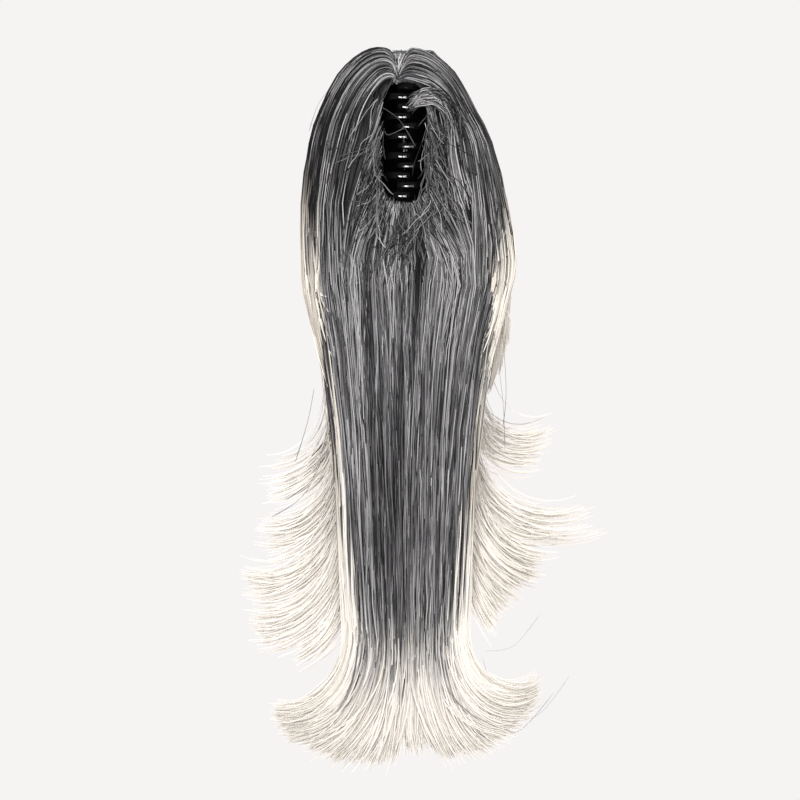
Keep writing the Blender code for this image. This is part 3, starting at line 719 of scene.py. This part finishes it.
def tail_ended(rng, paths, u, flat=0.95):
    """The strands with the tail's ends, gathered into wisps and drawn forward by a share of their depth."""
    n = len(u)
    x, y, z = (paths[:, -1, k] for k in range(3))
    depth = y - near_depth(x, z)
    across, turns, lengths, curls = zip(*TAIL_ENDS)
    wisps = groups_of(u + rng.normal(0, 0.02, n), 60)
    own = per_group(rng, 7, wisps)
    turn = np.interp(u, across, turns) * np.sign(u) + rng.normal(0, 6, n) + own
    length = np.interp(u, across, lengths) * TIPS * rng.uniform(0.84, 1.02, n)
    curl = np.interp(u, across, curls) + rng.normal(0, 0.08, n)
    outward = sideways(1, rng.normal(0, 0.14 - 0.12 * flat, n))
    paths = flicked(paths, outward, length, turn, curl, 9)
    paths[..., 1] -= flat * depth[:, None] * smooth(0.45, 0.75, along_of(paths))
    fine = groups_of(u + rng.normal(0, 0.004, n), 4)
    paths = gathered(paths, wisps, 0, 0.4, 0.72, 1.0)
    paths = gathered(paths, fine, 0.15)
    tone = streaked_tone(rng, fine, wisps, paths)
    edge = smooth(*PALE_SIDES, np.abs(u))
    early = PALE_EARLY * rng.uniform(0, 1, n) ** 1.2 * edge
    pale = faded(rng, paths, height(PALE_START + PALE_RISE * np.abs(u) ** 6 + early), 0.017)
    low, high = height(DULL_HEIGHTS)
    tone = dulled(tone, paths, pale, SIDE_DULL * edge[:, None] * smooth(low, high, paths[..., 2]))
    return facing_head(paths, tone, pale)


def long_ends(rng, u):
    return height(-0.785 - 0.02 * (1 - np.abs(u)) + rng.normal(0, 0.012, len(u)))


def root_hair(seed, side, count):
    """One side's strands from the claw's edge and from below it."""
    rng = np.random.default_rng(seed)
    a = rng.uniform(0, SIDE_ROOTS, count)
    u = side * a
    bottom = np.clip(a / BOTTOM_ROOTS, 0, 1)
    rise = np.clip((a - BOTTOM_ROOTS) / (SIDE_ROOTS - BOTTOM_ROOTS), 0, 1)
    claw_low = -CLAW_TOP - 0.001
    root_x = side * CLAW_HALF_WIDTH * 0.9 * bottom**0.9 + rng.normal(0, 0.0014, count)
    root_z = claw_low - 0.006 * (1 - bottom) + rise**0.9 * (ROOT_TOP - claw_low) + rng.normal(0, 0.003, count)
    z = root_z[:, None] + (height(-0.20) - root_z)[:, None] * ROOT_STEPS
    x = root_x[:, None] + (tail_x(u[:, None], z) - root_x[:, None]) * (1 - (1 - ROOT_STEPS) ** FAN)
    places = np.concatenate([(0, 0.5, 1, 1.5), np.arange(2, 9), 8 + np.array(BODY_END)])
    paths = tail_strands(rng, u, x, z, LONG_FALL, long_ends(rng, u), places)
    return tail_ended(rng, paths, u)


def arch_start(rng, side, a):
    """The x and z of strands from the parting, for shares of the tail's half width."""
    q = np.clip((a - SIDE_ROOTS) / (1 - SIDE_ROOTS), 0, 1.1)[:, None, None]
    inner, outer = (np.array(arch) for arch in ARCHES[side])
    arch = (inner * (1 - q) + outer * q) * (SIDE, TOP)
    start = np.array([[PARTING]]) * (SIDE, TOP) + rng.normal(0, 0.0011, (len(a), 1, 2))
    z = height(np.full(len(a), -0.10))
    x = arch[:, -1, 0] * 0.2 + tail_x(side * a, z) * 0.8
    flat = np.concatenate([start, arch, np.stack([x, z], -1)[:, None]], 1)
    return flat[..., 0], flat[..., 1]


# Where these strands are read, counted in their first points, and how far across the tail they reach. The
# short ones are its outermost, from SHORT_OUTER inwards by a share for each side.
ARCH_PLACES = (0, 0.25, 0.5, 0.75, 1, 1.25, 1.5, 1.75, 2, 2.33, 2.67, 3, 3.33, 3.67, 4, 4.5, 5, 5.5, 6, 6.5, 7)
ARCH_OUTER, SHORT_OUTER = 0.97, 1.03
SHORT_SHARE = {-1: 0.16, 1: 0.23}
SHORT_DULL = 0.84


def arch_hair(seed, side, count):
    """One side's long strands from the parting, over the crown's head side and down the tail."""
    rng = np.random.default_rng(seed)
    a = rng.uniform(SIDE_ROOTS, ARCH_OUTER, count)
    places = np.concatenate([ARCH_PLACES, (7.5, 8, 9, 10), 10 + np.array(BODY_END)])
    x, z = arch_start(rng, side, a)
    paths = tail_strands(rng, side * a, x, z, LONG_FALL, long_ends(rng, a), places)
    return tail_ended(rng, paths, side * a)


def short_arch_hair(seed, side, count):
    """One side's outermost strands from the parting, which end in pale wisps beside the tail."""
    rng = np.random.default_rng(seed)
    a = SHORT_OUTER - SHORT_SHARE[side] * rng.uniform(0, 1, count) ** 1.1
    places = np.concatenate([ARCH_PLACES, 7 + np.array(BODY_END), (9.5, 10)])
    x, z = arch_start(rng, side, a)
    turn_from = height(-0.20 - 0.10 * smooth(0.80, 1.0, a) + rng.normal(0, 0.018, count))
    paths = tail_strands(rng, side * a, x, z, SHORT_FALL, turn_from, places)
    paths[..., 1] -= 0.0012 * smooth(0, 0.3, along_of(paths))
    outward = sideways(side, rng.normal(0, 0.2, count))
    length = rng.uniform(0.018, 0.060, count)
    paths = flicked(paths, outward, length, rng.normal(-8, 9, count), rng.normal(1.4, 0.15, count), 5)
    wisps, fine = groups_of(a, 24), groups_of(a + rng.normal(0, 0.002, count), 6)
    paths = gathered(paths, wisps, 0, 0.5, 0.7, 1.0)
    paths = gathered(paths, fine, 0.20, 0.20, 0.1, 0.5)
    tone = streaked_tone(rng, fine, wisps, paths)
    late = 0.06 * (rng.uniform(0, 1, (count, 1)) < 0.14)
    pale = faded(rng, paths, -0.024 - 0.20 * (SHORT_OUTER - a), 0.018) - late
    return facing_head(paths, dulled(tone, paths, pale, SHORT_DULL), pale)


def tail_back_hair(seed, count):
    """The strands of the tail's far half, under the layers."""
    rng = np.random.default_rng(seed)
    u = rng.uniform(-1, 1, count)
    start = np.full((count, 1), height(-0.15))
    depth = rng.uniform(0.55, 1.0, count)
    places = (0, 0.5, 1, 2, 2.5, 3, 4)
    x = tail_x(u[:, None], start)
    paths = tail_strands(rng, u, x, start, BACK_FALL, long_ends(rng, u), places, depth)
    strands = tail_ended(rng, paths, u, 0.0)
    return strands._replace(facing=np.tile(FAR_SIDE, (count, 1, 1)))


# Where the band over the claw's corner runs: across as a share of SIDE, and its upper and lower edge of TOP.
BAND_POINTS = 14
BAND = (
    (0.060, 0.46, 0.30),
    (0.19, 0.53, 0.38),
    (0.33, 0.49, 0.34),
    (0.42, 0.27, 0.14),
    (0.46, -0.10, -0.22),
    (0.54, -0.55, -0.72),
)


def band_hair(seed, count):
    """The loose band that crosses the claw's upper right corner and turns down beside it."""
    rng = np.random.default_rng(seed)
    level = rng.uniform(0, 1, (count, 1))
    x, high, low = (np.array([row[k] for row in BAND]) for k in range(3))
    reach = 1 + rng.normal(0, 0.05, (count, 1)) + 0.10 * (0.5 - level)
    flat = np.stack([x * reach * SIDE, (high + (low - high) * level) * TOP], -1)
    flat += rng.normal(0, 0.0016, flat.shape)
    flat = through(flat, np.linspace(0, len(BAND) - 1, BAND_POINTS))
    x, z = flat[..., 0], flat[..., 1]
    lift = rng.uniform(0.0003, 0.0030, (count, 1)) * np.sin(np.linspace(0.1, 1, BAND_POINTS) * np.pi)
    y = near_depth(x, z) - 0.0014 - lift
    y[:, 0] += 0.008
    fine = groups_of(level[:, 0], 4)
    paths = np.stack([x, y, z], -1)
    tone = streaked_tone(rng, fine, groups_of(level[:, 0], 20), paths)
    return facing_head(paths, tone, np.full(tone.shape, NEVER_PALE))


# The hair over the crown's top, sides and back, which ends in the shortest layer.

CROWN_LEVELS = (0.90, 0.74, 0.52, 0.26, 0.00, -0.09, -0.16)  # where its strands are led down the dome
CROWN_PLACES = (0, 0.33, 0.67, 1, 1.33, 1.67, 2, 2.33, 2.67, 3, 3.5, 4, 4.5, 5, 6, 7, 8, 9, 10)


def crown_hair(seed, count, low_turn, high_turn):
    """Strands from the parting over the dome, for a range of angles from +X round to +Y."""
    rng = np.random.default_rng(seed)
    angle = rng.uniform(low_turn, high_turn, count)
    back = np.clip(np.sin(angle), 0, 1)
    c = np.cos(angle)
    start = np.array([PARTING[0] * SIDE, 0.0, PARTING[1] * TOP]) + rng.normal(0, 0.0011, (count, 3))
    start[:, 1] = crown_face(start[:, 0], start[:, 2]) - 0.001
    rise = np.stack([-0.0035 + 0.014 * c, np.zeros(count), np.full(count, TOP * 0.85)], -1)
    rise[:, 1] = crown_face(rise[:, 0], rise[:, 2]) - 0.0004
    over = np.stack([-0.001 + 0.020 * c, 0.15 * FAR + 0.30 * FAR * back * 0.6, TOP * (0.97 + 0.02 * back)], -1)
    points = [start, rise, over]
    lift = 0.0004 - rng.uniform(0, 1, count) ** 1.5 * 0.003
    low = np.interp(back, (0, 0.35), (-0.290, -0.222)) + rng.normal(0, 0.030, count)
    for level in (*CROWN_LEVELS, low):
        at = around(angle, height(np.broadcast_to(level, count)))
        points.append(at + unit(sideways(at[:, 0], at[:, 1] - FAR * 0.2)) * lift[:, None])
    paths = through(np.stack(points, 1), CROWN_PLACES)
    paths = wander(rng, paths, 0.05, 0.0007)

    outward = sideways(c, np.sin(angle))
    wisps = groups_of(angle + rng.normal(0, 0.02, count), 36)
    own = per_group(rng, 9, wisps)
    own = (rng.normal(0, 7, count) + own) * (0.3 + 0.7 * back)
    turn = np.interp(back, (0, 0.45, 0.85), (-14, 5, 88)) + own
    length = 0.052 * rng.uniform(0.45, 1.0, count)
    paths = flicked(paths, outward, length, turn, rng.normal(1.5, 0.15, count), 6)
    fine = groups_of(angle + rng.normal(0, 0.008, count), 6)
    paths = gathered(paths, wisps, 0, 0.5, 0.75, 1.0)
    paths = gathered(paths, fine, 0.2, 0.3, 0.1, 0.5)
    tone = streaked_tone(rng, fine, wisps, paths)
    pale = faded(rng, paths, -0.050, 0.018)
    return Strands(paths, tone, pale, turned_out(paths, outward))


# The three layers under it, which show at the sides and behind.

Layer = namedtuple("Layer", "near far turn_from length pale_from")
LAYERS = {
    "layer_high": Layer("mid", "high", -0.395, 0.110, -0.120),
    "layer_mid": Layer("low", "mid", -0.520, 0.115, -0.150),
    "layer_low": Layer("long", "low", -0.655, 0.110, -0.190),
}
LAYER_TOP = -0.145
LAYER_STEPS = np.array([0, 0.33, 0.67, 1])  # from there to where a layer's strands turn out
LAYER_WIDTHS = np.array([0.92, 0.96, 0.98, 1.0])  # of the tail's, at those steps
LAYER_PLACES = (0, 1, 2, 2.5, 3)


def layer_strands(rng, name, u, turn_from, depth):
    """The straight part of a layer's strands: u from -1 to 1 across it and depth from 0 to 1 through it."""
    layer = LAYERS[name]
    top = height(LAYER_TOP)
    z = top + (turn_from - top)[:, None] * LAYER_STEPS
    x = tail_x(u[:, None] * LAYER_WIDTHS, z)
    flat = through(np.stack([x, z], -1), LAYER_PLACES)
    x, z = flat[..., 0], flat[..., 1]
    near, far = layer_face(layer.near, x, z), layer_face(layer.far, x, z)
    paths = np.stack([x, near + (far - near) * depth[:, None], z], -1)
    return wander(rng, paths, 0.05, 0.0006)


def side_hair(seed, lock):
    """One lock that leaves a layer's side."""
    rng = np.random.default_rng(seed)
    n = lock.count
    u = lock.side * rng.uniform(0.80, 1.0, n)
    turn_from = height(lock.start + rng.normal(0, 0.024, n))
    depth = rng.uniform(0.1, 0.9, n)
    paths = layer_strands(rng, lock.layer, u, turn_from, depth)
    outward = sideways(lock.side, rng.normal(0, 0.05, n))
    turn = lock.turn + rng.normal(0, 0.08 * n, n)
    length = lock.length * TIPS * (1 - lock.ragged * rng.uniform(0, 1, n))
    paths = flicked(paths, outward, length, turn, lock.curl + rng.normal(0, 0.10, n), 10)
    paths[..., 1] -= 0.012 * (depth[:, None] - 0.3) * smooth(0.35, 0.7, along_of(paths))
    wisps = groups_of(turn + rng.normal(0, 3, n), max(8, n // 4))
    fine = groups_of(turn, 5)
    paths = gathered(paths, wisps, 0, 0.30, 0.4, 1.0)
    paths = gathered(paths, fine, 0, 0.30, 0.2, 0.8)
    tone = streaked_tone(rng, fine, wisps, paths)
    pale = faded(rng, paths, LAYERS[lock.layer].pale_from - lock.late * TIPS, 0.022)
    return facing_head(paths, tone, pale)


def back_hair(seed, name, count):
    """A layer's strands that show behind, and flick out to the back."""
    layer = LAYERS[name]
    rng = np.random.default_rng(seed)
    u = rng.uniform(-0.96, 0.96, count)
    turn_from = height(layer.turn_from + rng.normal(0, 0.034, count))
    paths = layer_strands(rng, name, u, turn_from, rng.uniform(0.75, 1.0, count))
    outward = unit(sideways(0.45 * u, 1))
    wisps = groups_of(u + rng.normal(0, 0.03, count), 32)
    turn = 82 + rng.normal(0, 7, count) + per_group(rng, 9, wisps)
    length = layer.length * TIPS * rng.uniform(0.6, 1.15, count)
    paths = flicked(paths, outward, length, turn, rng.normal(1.5, 0.15, count), 8)
    fine = groups_of(u + rng.normal(0, 0.008, count), 6)
    paths = gathered(paths, wisps, 0, 0.6, 0.45, 1.0)
    paths = gathered(paths, fine, 0, 0.35, 0.1, 0.5)
    tone = streaked_tone(rng, fine, wisps, paths)
    pale = faded(rng, paths, layer.pale_from, 0.018)
    return Strands(paths, tone, pale, turned_out(paths, outward))


# Loose hair: the short root ends round the claw, and single strays.


def frizz(seed, side, count):
    """Short loose strands in tufts, from the claw's edge on one side, or from below it where side is 0."""
    rng = np.random.default_rng(seed)
    steps = 11
    tuft = rng.integers(0, max(1, count // 5), count)
    if side:
        x = side * CLAW_HALF_WIDTH * rng.uniform(0.75, 1.15, count)
        z = rng.uniform(-0.042, 0.036, count)[tuft]
        first = rng.uniform(-88, 0 if side > 0 else -55, count)[tuft]
        last = rng.uniform(-84, -58, count)[tuft]
    else:
        x = rng.uniform(-0.016, 0.018, count)[tuft]
        z = -CLAW_TOP + rng.uniform(-0.014, 0.0015, count)[tuft]
        first = rng.uniform(-160, -20, count)[tuft]
        last = rng.normal(-90, 12, count)[tuft]
    share = np.linspace(0, 1, steps)[None, :] ** 0.6
    shared_bend = np.cumsum(rng.normal(0, 9, (count, steps)), axis=1)[tuft]
    bend = shared_bend + np.cumsum(rng.normal(0, 5, (count, steps)), axis=1)
    heading = np.radians(first[:, None] * (1 - share) + last[:, None] * share + bend)
    step = (rng.uniform(0.018, 0.042, count) / steps)[:, None]
    across = np.cos(heading) * step * (side or 1)
    x = x[:, None] + rng.normal(0, 0.0008, (count, 1)) + np.cumsum(across, axis=1)
    z = z[:, None] + rng.normal(0, 0.0008, (count, 1)) + np.cumsum(np.sin(heading) * step, axis=1)
    lift = rng.uniform(0.0002, 0.0026, count)[:, None] * np.sin(np.linspace(0.1, 1, steps) * np.pi)[None]
    y = near_depth(x, z) - 0.0013 - lift
    tone = np.clip(rng.normal(0.42, 0.22, count)[:, None] + np.zeros(steps), 0, 1)
    return facing_head(np.stack([x, y, z], -1), tone, np.full(tone.shape, NEVER_PALE))


def stray_hair():
    """The single strands of STRAYS, a little in front of the hair where they cross it."""
    places = np.linspace(0, 2, 15)
    flat = through(np.array([((s.x0, s.z0), (s.x1, s.z1), (s.x2, s.z2)) for s in STRAYS]) * SIDE, places)
    x, z = flat[..., 0], flat[..., 1]
    lift = np.array([stray.lift for stray in STRAYS])[:, None] * SIDE
    y = near_depth(x, z) - 0.0015 - lift
    tone = np.broadcast_to(0.5 + 0.5 * np.array([stray.pale for stray in STRAYS])[:, None], x.shape)
    return facing_head(np.stack([x, y, z], -1), tone, np.full(x.shape, NEVER_PALE))


# The packed fibres behind the strands, coloured darker than them as painted shade in the gaps.

CORE_INSET = 0.0024  # below the near surfaces of the crown and the tail
CORE_SIDES, CORE_RINGS, CORE_TOP = 28, 12, -0.138


def crown_core(material):
    """The crown's own solid, drawn in a little, so that the claw's room stays open."""
    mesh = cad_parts["hair_crown"].data.copy()
    mesh.name = "crown_core"
    mesh.materials.clear()
    mesh.materials.append(material)
    points = np.array([vertex.co + vertex.normal * -CORE_INSET for vertex in mesh.vertices])
    mesh.vertices.foreach_set("co", points.astype(np.float32).ravel())
    mesh.update()
    set_values(mesh, "pale_from", np.full(len(points), NEVER_PALE))
    return add_object("crown_core", mesh)


Core = namedtuple("Core", "name near far reach end pale_from slot")
CORES = [Core(*row) for row in (
    ("tail_core", "near", "long", 0.90, -0.86, -0.33, "grey_hair"),
    ("low_core", "long", "low", 0.88, -0.66, -0.19, "pale_hair"),
    ("mid_core", "low", "mid", 0.88, -0.53, -0.15, "pale_hair"),
    ("high_core", "mid", "high", 0.88, -0.40, -0.12, "pale_hair"),
    ("short_core", "high", "far", 0.88, -0.25, -0.06, "pale_hair"),
)]


def tail_core(core, material):
    """A closed body between two of FALL's surfaces, as wide as reach's share of the tail, down to end."""
    rings = []
    turns = np.arange(CORE_SIDES) * 2 * np.pi / CORE_SIDES
    for share in np.linspace(CORE_TOP, core.end, CORE_RINGS):
        z = np.full(CORE_SIDES, float(height(share)))
        ends = np.interp(share, (core.end, core.end + 0.08, -0.16, CORE_TOP), (0.5, 1, 1, 0.9))
        x = tail_x(np.cos(turns) * core.reach * ends, z)
        near = layer_face(core.near, x, z) + (CORE_INSET if core.near == "near" else 0.0005)
        far = layer_face(core.far, x, z) - 0.0008
        y = (near + far) / 2 + np.sin(turns) * (far - near) / 2 * ends
        rings.append(np.stack([x, y, z], -1))
    return shell(core.name, rings, core.pale_from, material)


def joined(*parts):
    return Strands(*(np.concatenate(columns) for columns in zip(*parts)))


def make_hair():
    hair, core = hair_material(), core_material()
    finish_piece(crown_core(core), "grey_hair")
    for row in CORES:
        finish_piece(tail_core(row, core), row.slot)

    def grow(name, strands, slot, *nodes, radius=STRAND_RADIUS):
        rng = np.random.default_rng(len(strands.paths))
        radii = radius * rng.uniform(*RADIUS_SHARES, len(strands.paths))
        finish_piece(strand_mesh(name, strands, radii, hair), slot, *nodes)

    crown_nodes = ("hair_crown", "layer_short")
    for side, label in ((-1, "left"), (1, "right")):
        grow("tail_hair_" + label, root_hair(12 + side, side, 800), "grey_hair", "tail_long")
        grow("arch_hair_" + label, arch_hair(15 + side, side, 430), "grey_hair", "tail_long", "hair_crown")
        grow("short_hair_" + label, short_arch_hair(18 + side, side, 260), "grey_hair", *crown_nodes)
    grow("tail_back_hair", tail_back_hair(25, 420), "grey_hair", "tail_long")
    middle, past = math.pi / 2, 0.25  # the angle straight back, and how far past the sides they reach
    grow("crown_hair_right", crown_hair(21, 620, -past, middle), "grey_hair", *crown_nodes)
    grow("crown_hair_left", crown_hair(22, 620, middle, math.pi + past), "grey_hair", *crown_nodes)
    for seed, name in enumerate(LAYERS):
        locks = [side_hair(50 + i, lock) for i, lock in enumerate(SIDE_LOCKS) if lock.layer == name]
        grow(name + "_locks", joined(*locks), "pale_hair", name, radius=STRAND_RADIUS * 0.9)
        grow(name + "_back", back_hair(31 + seed, name, 340), "pale_hair", name)
    grow("band_hair", band_hair(27, 130), "grey_hair", "hair_crown", radius=STRAND_RADIUS * 0.8)
    loose = joined(frizz(41, 1, 190), frizz(42, -1, 80), frizz(43, 0, 110))
    grow("root_frizz", loose, "grey_hair", radius=STRAND_RADIUS * 0.75)
    grow("stray_hair", stray_hair(), "grey_hair", radius=STRAND_RADIUS * 0.5)


# The claw.

TEETH, TOOTH_PITCH = 6, 0.1611  # the pitch is a share of the claw's length
# Each jaw's body, how far its first tooth is above the claw's middle, and where its ribs start and end
# across it, as shares of the claw's length.
Jaw = namedtuple("Jaw", "node body first_tooth rib_left rib_right")
JAWS = [Jaw(*row) for row in (
    ("claw_jaw_left", "hairpiece", 0.385, -0.045, 0.030),
    ("claw_jaw_right", "right_jaw", 0.463, -0.012, 0.095),
)]
RIB_RADIUS = 0.0006
RIB_FACING = (-0.06, -0.90, 0.44)
RIB_DROP = 0.0010  # below the middle of a tooth
RIB_POINTS, RIB_RAYS = 7, 17


def plastic_material(name, specular, roughness):
    """Black moulded plastic, with faint scuffs that dull it."""
    made, tree, shader = node_material(name)
    scuffs = noise(tree, 260, 6, 4.0)
    colour = ramp(tree, ((0.3, (0.002, 0.002, 0.0024)), (0.8, (0.006, 0.006, 0.0066))), scuffs)
    tree.links.new(colour, shader.inputs["Base Color"])
    tree.links.new(mapped(tree, scuffs, roughness, roughness * 1.8), shader.inputs["Roughness"])
    shader.inputs["Specular IOR Level"].default_value = specular
    return made


def steel_material():
    made, tree, shader = node_material("spring_wire")
    drawn = noise(tree, 900, 12, 3.0)
    tree.links.new(ramp(tree, ((0.3, (0.40,) * 3), (0.7, (0.62,) * 3)), drawn), shader.inputs["Base Color"])
    tree.links.new(mapped(tree, drawn, 0.22, 0.42), shader.inputs["Roughness"])
    shader.inputs["Metallic"].default_value = 1.0
    return made


def dress(node, material):
    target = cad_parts[node]
    target.data.materials.clear()
    target.data.materials.append(material)


def tooth_ribs(jaw, material):
    """Small ribs along the outer faces of a jaw's teeth."""
    node, body, first_tooth, left, right = jaw
    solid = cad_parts[node]
    world = [solid.matrix_world @ vertex.co for vertex in solid.data.vertices]
    tree = BVHTree.FromPolygons(world, [tuple(face.vertices) for face in solid.data.polygons])
    length = 2 * CLAW_TOP
    paths = []
    for tooth in range(TEETH):
        middle = (first_tooth - tooth * TOOTH_PITCH) * length
        path = []
        for x in np.linspace(left, right, RIB_POINTS) * length:
            heights = middle + np.linspace(-0.4, 0.4, RIB_RAYS) * TOOTH_PITCH * length
            hits = [tree.ray_cast(Vector((x, -0.1, z)), Vector((0, 1, 0)))[0] for z in heights]
            face = [tuple(hit) for hit in hits if hit and hit.y < -CLAW_FRONT / 2]
            path.append(np.mean(face, axis=0) - (0.0, 0.0, RIB_DROP))
        paths.append(path)
    paths = np.array(paths)
    unused = np.zeros(paths.shape[:2])  # the plastic reads no tone
    strands = Strands(paths, unused, unused, np.tile(RIB_FACING, (TEETH, 1, 1)))
    ribs = strand_mesh(node + "_ribs", strands, np.full(TEETH, RIB_RADIUS), material)
    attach(ribs, body)


def dress_claw():
    dull = plastic_material("claw_plastic", 0.03, 0.32)
    bright = plastic_material("claw_ribs", 1.0, 0.12)
    bright.node_tree.nodes["Principled BSDF"].inputs["Coat Weight"].default_value = 1.0
    for jaw in JAWS:
        dress(jaw.node, dull)
        tooth_ribs(jaw, bright)
    steel = steel_material()
    dress("hinge_pin", steel)
    dress("hinge_spring", steel)


# The stage.


def make_stage():
    mesh = bpy.data.meshes.new("floor")
    z = -TIPS - FLOOR_DROP
    turns = np.arange(FLOOR_SIDES) * 2 * np.pi / FLOOR_SIDES
    rim = [(math.cos(turn) * FLOOR_RADIUS, math.sin(turn) * FLOOR_RADIUS, z) for turn in turns]
    mesh.from_pydata(rim, [], [tuple(range(FLOOR_SIDES))])
    made, _tree, shader = node_material("floor")
    shader.inputs["Base Color"].default_value = FLOOR_COLOUR
    shader.inputs["Roughness"].default_value = 0.8
    mesh.materials.append(made)
    floor = add_object("floor", mesh)

    world = bpy.data.worlds.new("studio")
    world.use_nodes = True
    back = world.node_tree.nodes["Background"]
    back.inputs["Color"].default_value = WORLD_COLOUR
    back.inputs["Strength"].default_value = 1.0
    bpy.context.scene.world = world

    for name, place, size, power in LAMPS:
        light = bpy.data.lights.new(name, "AREA")
        light.size = size
        light.energy = power
        lamp = add_object(name, light)
        lamp.location = place
        lamp.rotation_euler = (Vector(LAMPS_AIM) - Vector(place)).to_track_quat("-Z", "Y").to_euler()


def make_camera():
    """The photograph's view, straight into the claw's mouth."""
    half = PHOTO_SIDE / 2
    aim = Vector(((half - CLAW_PIXEL[0]) * PIXEL, 0, (CLAW_PIXEL[1] - half) * PIXEL))
    data = bpy.data.cameras.new("camera")
    data.sensor_fit = "HORIZONTAL"
    data.sensor_width = SENSOR
    data.lens = data.sensor_width * CAMERA_DISTANCE / (PHOTO_SIDE * PIXEL)
    data.clip_end = 20
    camera = add_object("camera", data)
    camera.location = aim + Vector((0, -CAMERA_DISTANCE, 0))
    camera.rotation_euler = (math.pi / 2, 0, 0)
    bpy.context.scene.camera = camera


make_camera()
make_stage()
dress_claw()
make_hair()
bpy.context.scene.view_settings.view_transform = "Standard"
